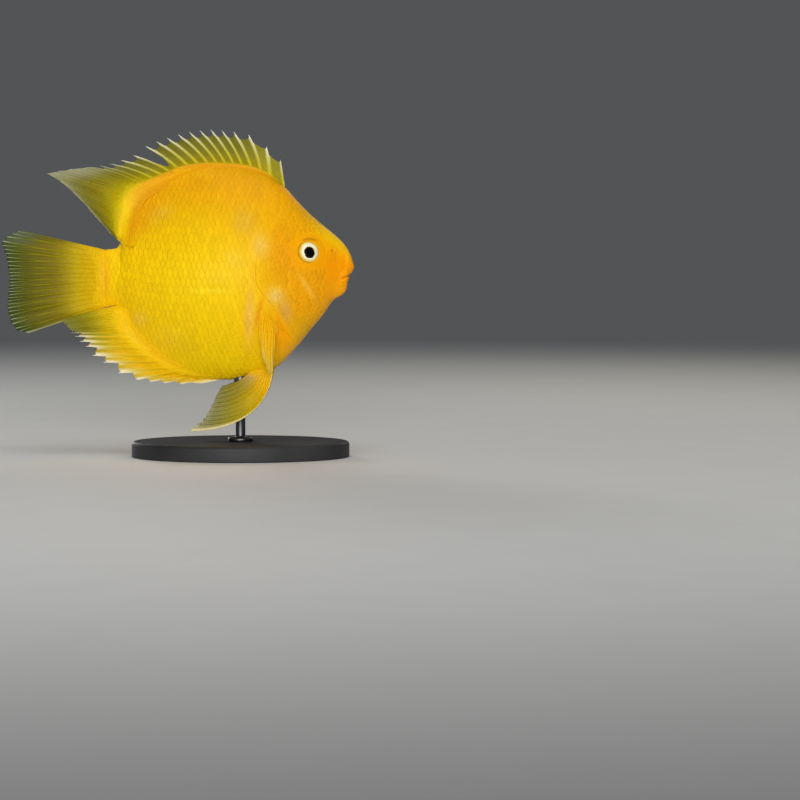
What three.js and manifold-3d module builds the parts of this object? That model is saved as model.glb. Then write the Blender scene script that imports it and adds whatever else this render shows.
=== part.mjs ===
// A blood parrot cichlid as a life-size display model: the whole fish in its hovering pose,
// held over a flat oval base by one short rod. Millimetres, +Z up, the head towards +X.
// The origin is the centre of the base's underside, straight below the rod.
import * as THREE from "three";
import { mergeVertices } from "three/addons/utils/BufferGeometryUtils.js";
import Module from "manifold-3d";

const wasm = await Module();
wasm.setup();

// Driving dimensions
const SNOUT = { x: 58.5, z: 97.6 }; // tip of the upper lip
const STALK_END_X = -68.8; // where the tail fin starts
const GAP = 0.3; // clearance that touching pieces keep
const HALF_SPAN = 60; // wider than any part of the fish on either side
const FAR = 200; // past every part of the fish
const RING_SIDES = 44; // facets round the body
const LEAST_HALF = 0.5; // half the body's thickness where it thins out into its edges
const EYE = { x: 35.9, z: 105.6, radius: 6, halfDepth: 3.3, sunk: 1.6, around: 20, rings: 12 };
const NOSTRIL = { x: 47.8, z: 106, radius: 0.9, proud: 0.2, around: 10, rings: 8 };
const MOUTH = { cornerX: 51, cornerZ: 91.4, frontX: 56, frontZ: 93.2, slit: 0.5, past: 3 };
const LIP = {
  upper: 1.4, lower: 1.15, underbite: 1.2, // radii of the rolls, the lower one further back
  apart: 0.7, // of a roll's middle from the slit, as a share of its radius
  ends: 0.35, // radius at the corners of the mouth, as a share of the middle's
  sunk: 0.97, // of a roll's middle line, as a share of the body's half width
  behind: 0.5, // that a roll starts behind the corner of the mouth
  steps: 16, sides: 8,
};
const COVER = {
  proud: 0.8, reach: 14, // rise of the gill cover's free edge over the skin behind it, and its run
  nape: [126, 112], throat: [58, 68], // heights between which the rise fades out
};
const MEMBRANE = { half: 0.3, thinning: 0.15 }; // half the thickness, and its loss towards the tips
const RIDGE_REACH = 0.2; // half the width of a spine's ridge, as a share of the way to the next
const RIDGE_THINNING = 0.75; // how much of a ridge is lost towards its tip
const FIN_ROWS = [0, 0.06, 0.15, 0.34, 0.56, 0.79, 1]; // shares of the way out from the skin
const THIN_ROOT = { swell: 0.8, reach: 5 }; // thickening at the skin, and how far out it fades
const FLESHY_ROOT = { swell: 2, reach: 15 };
const BASE = { length: 112, width: 76, height: 8, bevel: 1.6, segments: 24 };
const COLOUR = {
  head: 0xf09a08, flank: 0xf2b90a, fin: 0xa8950f, eye: 0xe6d9a0, base: 0x2b2b2c, rod: 0x55565a,
};
const ROD = { radius: 2.5, collarRadius: 6.5, collarHeight: 3, chamfer: 1, reach: 44.5, sides: 20 };

// Outline of the body in side view, without its fins: [x, z] from tail stalk to snout
const BACK_LINE = [
  [-68.8, 106.4], [-63.6, 106.9], [-61.4, 109.6], [-60.2, 119], [-58.4, 128.6], [-53.8, 135.8],
  [-44, 142.2], [-35, 146.2], [-25, 148.9], [-15, 149.8], [-4, 149.2], [5, 147.8], [13, 145.2],
  [18, 142.4], [21.5, 139.9], [25.4, 136], [28.3, 132.6], [34.2, 126.3], [41.3, 119.9], [48, 114.4],
  [53.6, 108.9], [57.2, 102.6], [SNOUT.x, SNOUT.z + 0.4],
];
const BELLY_LINE = [
  [-68.8, 76.9], [-63, 77.6], [-61.2, 74], [-58.6, 64.8], [-53, 56.4], [-45, 49], [-33, 42.6],
  [-20, 39.7], [-6, 39.7], [6, 42.2], [18.5, 46.2], [26, 53.1], [34.1, 63.1], [43.1, 73.6],
  [47.7, 80.3], [53.6, 84.4], [54.8, 87], [55.3, 90.4], [55.9, 92.9], [SNOUT.x, SNOUT.z - 0.4],
];
const HALF_WIDTH = [
  [-68.8, 3.4], [-62, 5.6], [-56, 8.8], [-46, 13.2], [-32, 18.3], [-18, 21.8], [-4, 23.4],
  [8, 23], [20, 21], [30, 17.8], [38, 14.4], [45, 10.6], [50.6, 7], [55, 4.7], [SNOUT.x, 1.8],
];
// How pinched a cross-section is towards its back and its belly: 1 is an ellipse
const BACK_PINCH = [
  [-68.8, 1.1], [-65, 1.2], [-60, 1.6], [-46, 1.6], [-30, 1.55], [-10, 1.45], [8, 1.3], [24, 1.1],
  [SNOUT.x, 1],
];
const BELLY_PINCH = [
  [-68.8, 1], [-65, 1.1], [-60, 1.6], [-45, 1.6], [-30, 1.55], [-10, 1.35], [5, 1.05], [20, 0.96],
  [SNOUT.x, 0.93],
];
// Height of the widest line of the body, as a share of its depth, at the trunk and at the snout,
// and where it climbs from one to the other
const WIDEST = { trunk: 0.46, snout: 0.54, fromX: 10, toX: 45 };

// Free edge of the gill cover in side view, carried on over the nape and under the throat
const GILL_EDGE = [
  [31, 143], [26.2, 134], [22, 127.7], [18.3, 120.5], [13.8, 112.3], [10.3, 105.1], [9, 97.9],
  [9.2, 90.8], [12.3, 84.6], [16.9, 79], [20.5, 72.8], [24.1, 65.1], [28.7, 58.5], [34, 50],
];
// Groove between the cheek and the gill cover, behind and below the eye
const CHEEK_GROOVE = [[27, 101.5], [25.2, 96], [25, 90], [26.8, 84], [30.4, 78.8], [36, 74.6]];
const GROOVE = { radius: 0.55, ends: 0.3, sunk: 0.4, steps: 12, sides: 6 };
// Line where the tail stalk leaves the trunk
const STALK_LINE = [
  [-64, 116], [-61.2, 109.5], [-56, 101], [-54.4, 93], [-56, 85], [-61.2, 75.8], [-64, 70],
];
const LINE_STEPS = { gill: 30, stalk: 14 };

// Fins: the [ray, x, z] of their tips, the rays counted from the front. roots gives the share of
// the outline between frontX and rearX at which a ray leaves the body, and depth how far it goes
// on inside. Behind and ahead say how far the membrane ends short of the tips after a spine and
// before the next one, and softCut how far between soft rays, as shares of the ray
const DORSAL = {
  frontX: 25.2, rearX: -61.35, spines: 16, rays: 28, depth: 8,
  roots: [
    [1, 0], [2, 0.098], [3, 0.142], [4, 0.191], [6, 0.27], [8, 0.346], [10, 0.432], [12, 0.53],
    [13, 0.567], [14, 0.604], [16, 0.682], [18, 0.744], [20, 0.797], [22, 0.854], [24, 0.925],
    [26, 0.966], [28, 1],
  ],
  tips: [
    [1, 21, 152.4], [2, 13.8, 159], [3, 4.6, 165.1], [4, -3.1, 166.7], [6, -14.9, 167.7],
    [8, -25.9, 166.5], [10, -37.2, 163.4], [12, -48.2, 159.2], [13, -54.4, 154.5],
    [14, -60.9, 152.1], [15, -66.4, 150.3], [16, -71.4, 149.2], [17, -79, 148.6], [18, -87, 147.8],
    [19, -94, 146.7], [20, -99.5, 145.6], [21, -96.2, 143.6], [22, -92.4, 141.2],
    [24, -85.6, 135.4], [26, -77.6, 127.2], [28, -66.8, 115.2],
  ],
  behind: 0.1, ahead: 0.16, softCut: 0.02,
  notchAfter: 12, notch: 0.48, // the deep gap between the two halves of the spiny part
  ridge: 0.42, softRidge: 0.28,
  bend: new THREE.Vector3(1, 0, 1.2),
  sway: 1.6, // of the soft rays' tips to the left
};
const ANAL = {
  frontX: -3, rearX: -62.3, spines: 12, rays: 17, depth: 8,
  roots: [
    [1, 0], [2, 0.13], [3, 0.225], [4, 0.3], [5, 0.37], [6, 0.44], [7, 0.512], [8, 0.59],
    [9, 0.667], [10, 0.72], [11, 0.763], [13, 0.855], [15, 0.94], [17, 1],
  ],
  tips: [
    [1, -21, 37.5], [2, -31, 37.2], [3, -39.8, 37.6], [4, -47.2, 38.3], [5, -54, 39.3],
    [6, -62.9, 43], [7, -70.5, 48.6], [8, -76.1, 52.1], [9, -79.6, 56.8], [10, -82.4, 59.4],
    [11, -84.6, 62], [13, -88.2, 65.4], [15, -90.8, 67.9], [17, -92.8, 69.9],
  ],
  behind: 0.17, ahead: 0.23, softCut: 0.04,
  ridge: 0.4, softRidge: 0.28,
  sway: -2.8, // of the rear rays' tips, to the right of the tail fin
};
const CAUDAL = {
  rays: 16,
  tips: [
    [1, -113, 116.4], [2, -118.4, 114], [3, -122.6, 109.6], [4, -121, 105.6], [6, -119.3, 97.4],
    [8, -118.6, 90.4], [10, -119, 84], [12, -119.6, 77.4], [14, -118, 69.4], [15, -115, 65],
    [16, -109.4, 63.4],
  ],
  inset: 0.6, // of the outer rays' roots from the edges of the tail stalk
  cut: 0.015, ridge: 0.32, swell: 2.9, reach: 17,
  sway: 1.5, wave: 0.35, // how far the tips lean, and the turn of that wave from ray to ray
};
const PELVIC = {
  rays: 6, spines: 1, depth: 2.5,
  frontX: 17.2, step: 1.9, // of the roots along the belly
  up: 2.6, inset: 1.6, // of the roots over the belly's edge and in from the skin
  tips: [
    [1, -25.3, 14], [2, -20.6, 18.2], [3, -17.4, 22.6], [4, -14.9, 27], [5, -12.6, 31.4],
    [6, -10.2, 35.8],
  ],
  aside: 13.5, narrowing: 0.9, // of the tips from the middle plane, and its loss from ray to ray
  bend: [12.5, 2.5, -6], lean: [-1.5, 0, 2.5], // forward, out and up; lean turns round on the way
  cut: 0.02, ridge: 0.45, softRidge: 0.3,
  root: { swell: 0.6, reach: 8 },
};
const PECTORAL = {
  rays: 13, depth: 2,
  rootX: [[1, 20.4], [7, 17.4], [13, 13.6]],
  rootZ: [[1, 71], [7, 75.4], [13, 80.6]],
  tips: [
    [1, 18, 57], [3, 17.7, 50], [5, 17.3, 45.6], [7, 16.4, 43.2], [9, 15.2, 45], [11, 13.6, 50],
    [13, 11.8, 58],
  ],
  out: [[1, 1.6], [4, 5], [7, 7.6], [10, 7], [13, 3.4]], // of the tips from the flank
  wallZ: 60, // height at which the flank is widest beside the hanging fin
  bend: 1.4, back: 2, // outwards, and of the rear rays backwards
  cut: 0.03, ridge: 0.25,
  root: { swell: 0.5, reach: 6 },
};

// A smooth curve through [x, value] pairs that never overshoots them, as a function of x.
function through(points) {
  const slopes = points.slice(1).map(([x, v], i) => (v - points[i][1]) / (x - points[i][0]));
  const tangents = points.map((_, i) => {
    if (i === 0) return slopes[0];
    if (i === points.length - 1) return slopes[i - 1];
    const [a, b] = [slopes[i - 1], slopes[i]];
    return a * b <= 0 ? 0 : (2 * a * b) / (a + b);
  });
  return (x) => {
    const next = points.findIndex(([px]) => px > x);
    const i = next < 0 ? points.length - 2 : Math.max(0, next - 1);
    const [[x0, v0], [x1, v1]] = [points[i], points[i + 1]];
    const h = x1 - x0;
    const t = THREE.MathUtils.clamp((x - x0) / h, 0, 1);
    return (
      v0 * (1 + 2 * t) * (1 - t) ** 2 +
      tangents[i] * h * t * (1 - t) ** 2 +
      v1 * t * t * (3 - 2 * t) +
      tangents[i + 1] * h * t * t * (t - 1)
    );
  };
}
const backZ = through(BACK_LINE);
const bellyZ = through(BELLY_LINE);
const halfWidth = through(HALF_WIDTH);
const smooth = (from, to, v) => {
  const t = THREE.MathUtils.clamp((v - from) / (to - from), 0, 1);
  return t * t * (3 - 2 * t);
};

const backPinch = through(BACK_PINCH);
const bellyPinch = through(BELLY_PINCH);
const widestShare = (x) =>
  THREE.MathUtils.lerp(WIDEST.trunk, WIDEST.snout, smooth(WIDEST.fromX, WIDEST.toX, x));

// Half the body's thickness at a point of the side view, 0 on and outside its outline.
function bodyHalfY(x, z) {
  const [top, bottom] = [backZ(x), bellyZ(x)];
  const middle = bottom + widestShare(x) * (top - bottom);
  const up = z > middle;
  const s = up ? (z - middle) / (top - middle) : (middle - z) / (middle - bottom);
  if (s >= 1) return 0;
  return halfWidth(x) * (1 - s * s) ** ((up ? backPinch(x) : bellyPinch(x)) / 2);
}

// Direction in which the skin faces at a point of the side view, on the side of sign y.
function skinNormal(x, z, side) {
  const d = 0.5; // half the stretch that the slopes are measured over
  const slopeX = (bodyHalfY(x + d, z) - bodyHalfY(x - d, z)) / (2 * d);
  const slopeZ = (bodyHalfY(x, z + d) - bodyHalfY(x, z - d)) / (2 * d);
  return new THREE.Vector3(-slopeX, side, -slopeZ).normalize();
}

// A solid from an indexed three.js geometry whose shared vertices are merged.
function toSolid(geometry) {
  const bare = geometry.clone();
  for (const name of Object.keys(bare.attributes)) {
    if (name !== "position") bare.deleteAttribute(name);
  }
  const merged = mergeVertices(bare, 1e-4);
  const index = Array.from(merged.index.array);
  const kept = [];
  for (let i = 0; i < index.length; i += 3) {
    const [a, b, c] = index.slice(i, i + 3);
    if (a !== b && b !== c && c !== a) kept.push(a, b, c);
  }
  return new wasm.Manifold(
    new wasm.Mesh({
      numProp: 3,
      vertProperties: new Float32Array(merged.attributes.position.array),
      triVerts: new Uint32Array(kept),
    }),
  );
}

function toGeometry(solid) {
  const mesh = solid.getMesh();
  const vertices = new Float32Array(mesh.numVert * 3);
  for (let i = 0; i < mesh.numVert; i++) {
    vertices.set(mesh.vertProperties.subarray(i * mesh.numProp, i * mesh.numProp + 3), i * 3);
  }
  const geometry = new THREE.BufferGeometry();
  geometry.setAttribute("position", new THREE.BufferAttribute(vertices, 3));
  geometry.setIndex(new THREE.BufferAttribute(new Uint32Array(mesh.triVerts), 1));
  geometry.computeVertexNormals();
  return geometry;
}

function indexedGeometry(points, triangles) {
  const geometry = new THREE.BufferGeometry();
  geometry.setAttribute("position", new THREE.Float32BufferAttribute(points.flat(), 3));
  geometry.setIndex(triangles.flat());
  return geometry;
}

// A solid from points and triangles, turned right side out where they run the other way.
function facingOut(points, triangles) {
  const solid = toSolid(indexedGeometry(points, triangles));
  if (solid.volume() > 0) return solid;
  return toSolid(indexedGeometry(points, triangles.map(([a, b, c]) => [a, c, b])));
}

// The largest closed piece of a solid, without loose scraps.
const largest = (solid) => solid.decompose().sort((a, b) => b.volume() - a.volume())[0];

// Stations along the body, closer together where its outline turns fast.
function stations() {
  const step = { reach: 4.8, least: 0.6, most: 3.6 };
  const slope = (edge, x) => (edge(x + 0.2) - edge(x - 0.2)) / 0.4;
  const xs = [];
  for (let x = STALK_END_X; x < SNOUT.x - step.least; ) {
    xs.push(x);
    const steepness = Math.hypot(1, slope(backZ, x + 0.3), slope(bellyZ, x + 0.3));
    x += THREE.MathUtils.clamp(step.reach / steepness, step.least, step.most);
  }
  return xs;
}

// The whole body as one closed loft of rings. Each vertex moves out along its normal by
// grow, and away from the middle by what lift(x, z) gives.
function bodySolid(grow, lift = () => 0) {
  const points = [];
  const triangles = [];
  const xs = stations();
  for (const x of xs) {
    const [top, bottom] = [backZ(x), bellyZ(x)];
    const middle = bottom + widestShare(x) * (top - bottom);
    for (let k = 0; k < RING_SIDES; k++) {
      const angle = (2 * Math.PI * (k + 0.5)) / RING_SIDES;
      const [c, s] = [Math.cos(angle), Math.sin(angle)];
      const pinch = s > 0 ? backPinch(x) : bellyPinch(x);
      const z = middle + s * (s > 0 ? top - middle : middle - bottom);
      const plain = Math.max(halfWidth(x) * Math.abs(c) ** pinch, LEAST_HALF);
      const y = plain + lift(x, z) * Math.sqrt(Math.abs(c));
      points.push([x, Math.sign(c) * y, z]);
    }
  }
  for (let i = 0; i + 1 < xs.length; i++) {
    for (let k = 0; k < RING_SIDES; k++) {
      const [a, b] = [i * RING_SIDES + k, i * RING_SIDES + ((k + 1) % RING_SIDES)];
      triangles.push([a, b + RING_SIDES, a + RING_SIDES], [a, b, b + RING_SIDES]);
    }
  }
  const stalkZ = (backZ(STALK_END_X) + bellyZ(STALK_END_X)) / 2;
  const tail = points.push([STALK_END_X, 0, stalkZ]) - 1;
  const snout = points.push([SNOUT.x, 0, SNOUT.z]) - 1;
  const last = (xs.length - 1) * RING_SIDES;
  for (let k = 0; k < RING_SIDES; k++) {
    const next = (k + 1) % RING_SIDES;
    triangles.push([tail, next, k], [snout, last + k, last + next]);
  }
  const geometry = indexedGeometry(points, triangles);
  geometry.computeVertexNormals();
  const { position, normal } = geometry.attributes;
  for (let i = 0; i < position.count; i++) {
    position.setXYZ(
      i,
      position.getX(i) + grow * normal.getX(i),
      position.getY(i) + grow * normal.getY(i),
      position.getZ(i) + grow * normal.getZ(i),
    );
  }
  return toSolid(geometry);
}

// A prism right across the fish from an outline of [x, z] points.
function sidePrism(outline) {
  const shape = new THREE.Shape(outline.map(([x, z]) => new THREE.Vector2(x, z)));
  const geometry = new THREE.ExtrudeGeometry(shape, { depth: 2 * HALF_SPAN, bevelEnabled: false });
  geometry.rotateX(Math.PI / 2);
  geometry.translate(0, HALF_SPAN, 0);
  return toSolid(geometry);
}

// Points along a smooth line through [x, z] points, moved to its left by some millimetres.
function lineBeside(points, offset, steps) {
  const curve = new THREE.CatmullRomCurve3(
    points.map(([x, z]) => new THREE.Vector3(x, 0, z)), false, "centripetal",
  );
  return Array.from({ length: steps + 1 }, (_, i) => {
    const p = curve.getPoint(i / steps);
    const t = curve.getTangent(i / steps);
    return [p.x - t.z * offset, p.z + t.x * offset];
  });
}

// Everything in front of the gill edge, or behind the stalk line, that line moved forward by
// an offset.
const inFront = (offset) =>
  sidePrism([...lineBeside(GILL_EDGE, offset, LINE_STEPS.gill), [FAR, -FAR], [FAR, 2 * FAR]]);
const behindStalk = (offset) =>
  sidePrism([...lineBeside(STALK_LINE, offset, LINE_STEPS.stalk), [-FAR, -FAR], [-FAR, 2 * FAR]]);

// x of the gill cover's free edge at a height.
const gillX = through(GILL_EDGE.map(([x, z]) => [z, x]).reverse());
// How far the gill cover swells towards its free edge, fading out at nape and throat.
const coverLift = (x, z) =>
  COVER.proud * smooth(COVER.reach, 0, x - gillX(z)) * smooth(...COVER.nape, z) * smooth(...COVER.throat, z);

// A closed fin from base(ray) to tip(ray), its rays raised as ridges in both of its faces. The
// first depth millimetres of a ray lie inside the body. bow(ray, v) bends a ray aside at the share
// v of its way. Past the last spine a ridge falls away to the middle of the membrane. A spine's
// ridge is narrower, with flat membrane up to the next one, which ends short of the tips by the
// share cut(ray). root(ray) thickens the fin at the skin by swell, out to reach.
function fin({ rays, spines = 0, depth = 0, base, tip, bow = () => new THREE.Vector3(), cut, root, ridge }) {
  const columnRays = [1];
  for (let ray = 1; ray < rays; ray++) {
    if (ray <= spines) columnRays.push(ray + RIDGE_REACH, ray + 1 - RIDGE_REACH, ray + 1);
    else columnRays.push(ray + 0.5, ray + 1);
  }
  const at = (ray, v) => base(ray).lerp(tip(ray), v).addScaledVector(bow(ray, v), 4 * v * (1 - v));
  const faces = [[], []];
  const columns = columnRays.length;
  for (const ray of columnRays) {
    const onRay = Number.isInteger(ray);
    const length = base(ray).distanceTo(tip(ray));
    const skin = depth / length;
    const end = onRay ? 1 : 1 - cut(ray);
    const { swell, reach } = root(ray);
    const shares = FIN_ROWS.map((share) => skin + share * (end - skin));
    if (depth > 0) shares.unshift(0);
    for (const v of shares) {
      const d = 0.02; // a short step to either side, in rays and in shares of one
      const across = at(Math.min(ray + d, rays), v).sub(at(Math.max(ray - d, 1), v));
      const along = at(ray, Math.min(v + d, 1)).sub(at(ray, Math.max(v - d, 0)));
      const normal = across.cross(along).normalize();
      const out = v * length - depth;
      const seen = Math.max(0, out / (length - depth));
      const raised = onRay ? ridge(ray) * (1 - RIDGE_THINNING * seen) : 0;
      const fleshy = swell * (1 - smooth(0, reach, out));
      const half = MEMBRANE.half * (1 - MEMBRANE.thinning * seen) + fleshy + raised;
      faces[0].push(at(ray, v).addScaledVector(normal, half).toArray());
      faces[1].push(at(ray, v).addScaledVector(normal, -half).toArray());
    }
  }
  const rows = FIN_ROWS.length + (depth > 0 ? 1 : 0);
  const back = faces[0].length;
  const triangles = [];
  const quad = (a, b, c, d) => triangles.push([a, b, c], [a, c, d]);
  for (let c = 0; c + 1 < columns; c++) {
    for (let r = 0; r + 1 < rows; r++) {
      const [a, b] = [c * rows + r, (c + 1) * rows + r];
      quad(a, b, b + 1, a + 1);
      triangles.push([back + a, back + b + 1, back + b], [back + a, back + a + 1, back + b + 1]);
    }
    const [a, b] = [c * rows, (c + 1) * rows];
    quad(a, back + a, back + b, b);
    quad(b + rows - 1, back + b + rows - 1, back + a + rows - 1, a + rows - 1);
  }
  const lastColumn = (columns - 1) * rows;
  for (let r = 0; r + 1 < rows; r++) {
    quad(r, r + 1, back + r + 1, back + r);
    quad(lastColumn + r, back + lastColumn + r, back + lastColumn + r + 1, lastColumn + r + 1);
  }
  return facingOut([...faces[0], ...faces[1]], triangles);
}

// A point of the body's outline by its share of the way from one x to another.
function outlinePath(edge, fromX, toX) {
  const steps = 240;
  const points = Array.from({ length: steps + 1 }, (_, i) => {
    const x = fromX + ((toX - fromX) * i) / steps;
    return new THREE.Vector3(x, 0, edge(x));
  });
  const lengths = [0];
  for (let i = 1; i <= steps; i++) lengths.push(lengths[i - 1] + points[i].distanceTo(points[i - 1]));
  const reach = through(lengths.map((length, i) => [length / lengths[steps], i]));
  return (share) => {
    const i = reach(share);
    const low = Math.min(Math.floor(i), steps - 1);
    return points[low].clone().lerp(points[low + 1], i - low);
  };
}

// The tip of each ray from a fin's [ray, x, z] list, with y from sway(ray).
function tipsOf(list, sway = () => 0) {
  const x = through(list.map((entry) => [entry[0], entry[1]]));
  const z = through(list.map((entry) => [entry[0], entry[2]]));
  return (ray) => new THREE.Vector3(x(ray), sway(ray), z(ray));
}

// The root of a ray carried on into the body, leaning to the body's middle.
const BODY_CENTRE = new THREE.Vector3(-18, 0, 94);
const ROOT_LEAN = 0.45;
function sunkIn(foot, tip, depth) {
  const inward = foot.clone().sub(tip).normalize();
  const middle = BODY_CENTRE.clone().sub(foot).normalize();
  return foot.clone().addScaledVector(inward.addScaledVector(middle, ROOT_LEAN).normalize(), depth);
}

// A root between a thin and a fleshy one.
const rootBetween = (share) => ({
  swell: THREE.MathUtils.lerp(THIN_ROOT.swell, FLESHY_ROOT.swell, share),
  reach: THREE.MathUtils.lerp(THIN_ROOT.reach, FLESHY_ROOT.reach, share),
});

// An upright fin along an edge of the body.
function uprightFin(edge, shape, tip, softness, bow) {
  const { rays, spines, depth, behind, ahead, softCut, notchAfter, notch, ridge, softRidge } = shape;
  const along = outlinePath(edge, shape.frontX, shape.rearX);
  const share = through(shape.roots);
  return fin({
    rays,
    spines,
    depth,
    base: (ray) => sunkIn(along(share(ray)), tip(ray), depth),
    tip,
    bow,
    cut: (ray) => {
      if (ray > spines + 1) return softCut;
      if (Math.floor(ray) === notchAfter) return notch;
      return ray % 1 > 0.5 ? ahead : behind;
    },
    root: (ray) => rootBetween(softness(ray)),
    ridge: (ray) => (ray <= spines ? ridge : softRidge),
  });
}

function dorsalFin() {
  const tip = tipsOf(DORSAL.tips, (ray) => DORSAL.sway * smooth(14, 21, ray));
  const softness = (ray) => smooth(DORSAL.spines - 3, DORSAL.spines + 2, ray);
  const bow = (ray) => DORSAL.bend.clone().multiplyScalar(smooth(1, 4, ray) * smooth(27, 18, ray));
  return uprightFin(backZ, DORSAL, tip, softness, bow);
}

function analFin() {
  const tip = tipsOf(ANAL.tips, (ray) => ANAL.sway * smooth(7, 16, ray));
  return uprightFin(bellyZ, ANAL, tip, (ray) => smooth(2, 8, ray));
}

function caudalFin() {
  const { rays, inset, cut, ridge, swell, reach, sway, wave } = CAUDAL;
  const rootX = STALK_END_X - GAP;
  const [top, bottom] = [backZ(STALK_END_X) - inset, bellyZ(STALK_END_X) + inset];
  const share = (ray) => (ray - 1) / (rays - 1);
  return fin({
    rays,
    base: (ray) => new THREE.Vector3(rootX, 0, THREE.MathUtils.lerp(top, bottom, share(ray))),
    tip: tipsOf(CAUDAL.tips, (ray) => sway * Math.cos((ray - 1) * wave)),
    cut: () => cut,
    root: (ray) => ({ swell: swell * Math.sin(Math.PI * share(ray)), reach }),
    ridge: () => ridge,
  });
}

function pelvicFin(side) {
  const { rays, spines, depth, frontX, step, up, inset, aside, narrowing, bend, lean } = PELVIC;
  return fin({
    rays,
    spines,
    depth,
    base: (ray) => {
      const x = frontX - step * (ray - 1);
      const z = bellyZ(x) + up;
      return new THREE.Vector3(x, side * (bodyHalfY(x, z) - inset), z);
    },
    tip: tipsOf(PELVIC.tips, (ray) => side * (aside - narrowing * ray)),
    bow: (ray, v) => {
      const bent = new THREE.Vector3(...bend).addScaledVector(new THREE.Vector3(...lean), 1 - 2 * v);
      bent.y *= side;
      return bent.multiplyScalar(smooth(7.5, 0.5, ray));
    },
    cut: () => PELVIC.cut,
    root: () => PELVIC.root,
    ridge: (ray) => (ray <= spines ? PELVIC.ridge : PELVIC.softRidge),
  });
}

// The pectoral fin is a rounded paddle that hangs down from the gill opening, off the flank.
function pectoralFin(side) {
  const { rays, depth, wallZ, bend, back } = PECTORAL;
  const [rootX, rootZ, out] = [through(PECTORAL.rootX), through(PECTORAL.rootZ), through(PECTORAL.out)];
  const tip = tipsOf(PECTORAL.tips);
  return fin({
    rays,
    depth,
    base: (ray) => {
      const [x, z] = [rootX(ray), rootZ(ray)];
      return new THREE.Vector3(x, side * (bodyHalfY(x, z) - depth), z);
    },
    tip: (ray) => {
      const end = tip(ray);
      const wall = Math.max(bodyHalfY(end.x, end.z), bodyHalfY(end.x, wallZ));
      return end.setY(side * (wall + out(ray)));
    },
    bow: (ray) => new THREE.Vector3(-back * smooth(5, rays, ray), side * bend, 0),
    cut: () => PECTORAL.cut,
    root: () => PECTORAL.root,
    ridge: () => PECTORAL.ridge,
  });
}

// An eye is a lens-shaped ball that faces the way the skin faces round it.
function eyeball(side, grow) {
  const { x, z, radius, halfDepth, sunk, around, rings } = EYE;
  const normal = skinNormal(x, z, side);
  const geometry = new THREE.SphereGeometry(1, around, rings);
  geometry.scale(radius + grow, halfDepth + grow, radius + grow);
  const turn = new THREE.Quaternion().setFromUnitVectors(new THREE.Vector3(0, 1, 0), normal);
  geometry.applyQuaternion(turn);
  const centre = new THREE.Vector3(x, side * bodyHalfY(x, z), z).addScaledVector(normal, -sunk);
  geometry.translate(centre.x, centre.y, centre.z);
  return toSolid(geometry);
}

// A closed roll of some sides along a row of points, as thick at each as radii says. Its
// first side looks out from the line's bend about the given axis.
function roll(points, radii, axis, sides) {
  const last = points.length - 1;
  const rings = points.map((point, i) => {
    const ahead = points[Math.min(i + 1, last)].clone().sub(points[Math.max(i - 1, 0)]).normalize();
    const out = axis.clone().cross(ahead).normalize();
    const upward = ahead.clone().cross(out);
    return Array.from({ length: sides }, (_, k) => {
      const angle = (2 * Math.PI * k) / sides;
      return point
        .clone()
        .addScaledVector(out, radii[i] * Math.cos(angle))
        .addScaledVector(upward, radii[i] * Math.sin(angle))
        .toArray();
    });
  });
  const triangles = [];
  for (let i = 0; i < last; i++) {
    for (let k = 0; k < sides; k++) {
      const [a, b] = [i * sides + k, i * sides + ((k + 1) % sides)];
      triangles.push([a, b, b + sides], [a, b + sides, a + sides]);
    }
  }
  const end = last * sides;
  for (let k = 1; k < sides - 1; k++) triangles.push([0, k + 1, k], [end, end + k, end + k + 1]);
  return facingOut(rings.flat(), triangles);
}

// The cutter for the groove at the front of a gill cover, partly sunk in the skin.
function cheekGroove(side) {
  const { radius, ends, sunk, steps, sides } = GROOVE;
  const points = lineBeside(CHEEK_GROOVE, 0, steps).map(([x, z]) => {
    const y = bodyHalfY(x, z) + coverLift(x, z) + radius * sunk;
    return new THREE.Vector3(x, side * y, z);
  });
  const radii = points.map((_, i) => radius * (ends + (1 - ends) * Math.sin((Math.PI * i) / steps)));
  return roll(points, radii, new THREE.Vector3(0, 1, 0), sides);
}

function nostril(side) {
  const { x, z, radius, proud, around, rings } = NOSTRIL;
  const geometry = new THREE.SphereGeometry(radius, around, rings);
  geometry.translate(x, side * (bodyHalfY(x, z) + proud), z);
  return toSolid(geometry);
}

// The slit of the mouth, from its corners forward and out through the snout.
function mouthSlit() {
  const { cornerX, cornerZ, frontX, frontZ, slit, past } = MOUTH;
  const ahead = SNOUT.x + past;
  const outline = [
    [cornerX, cornerZ], [frontX, frontZ - slit / 2], [ahead, frontZ - slit / 2],
    [ahead, frontZ + slit], [frontX, frontZ + slit / 2], [cornerX, cornerZ + slit / 3],
  ];
  return sidePrism(outline);
}

// One lip: a rounded roll round the snout from one mouth corner to the other.
function lip(up) {
  const { cornerX, cornerZ, frontZ, slit } = MOUTH;
  const { apart, ends, sunk, steps, sides } = LIP;
  const thick = up > 0 ? LIP.upper : LIP.lower;
  const rise = (frontZ - cornerZ) / (MOUTH.frontX - cornerX);
  const z = (x, spread) => cornerZ + rise * (x - cornerX) + up * (thick * apart + slit / 2) * spread;
  let frontX = SNOUT.x - thick - (up > 0 ? 0 : LIP.underbite);
  while (bodyHalfY(frontX, z(frontX, 1)) < thick) frontX -= 0.1;
  const startX = cornerX - LIP.behind;
  const swell = (i) => ends + (1 - ends) * Math.sin((Math.PI * i) / steps);
  const points = Array.from({ length: steps + 1 }, (_, i) => {
    const turn = (Math.PI * i) / steps;
    const x = startX + (frontX - startX) * Math.sin(turn);
    const height = z(x, swell(i));
    const y = i === steps / 2 ? 0 : Math.sign(Math.cos(turn)) * bodyHalfY(x, height) * sunk;
    return new THREE.Vector3(x, y, height);
  });
  return roll(points, points.map((_, i) => thick * swell(i)), new THREE.Vector3(0, 0, 1), sides);
}

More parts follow.
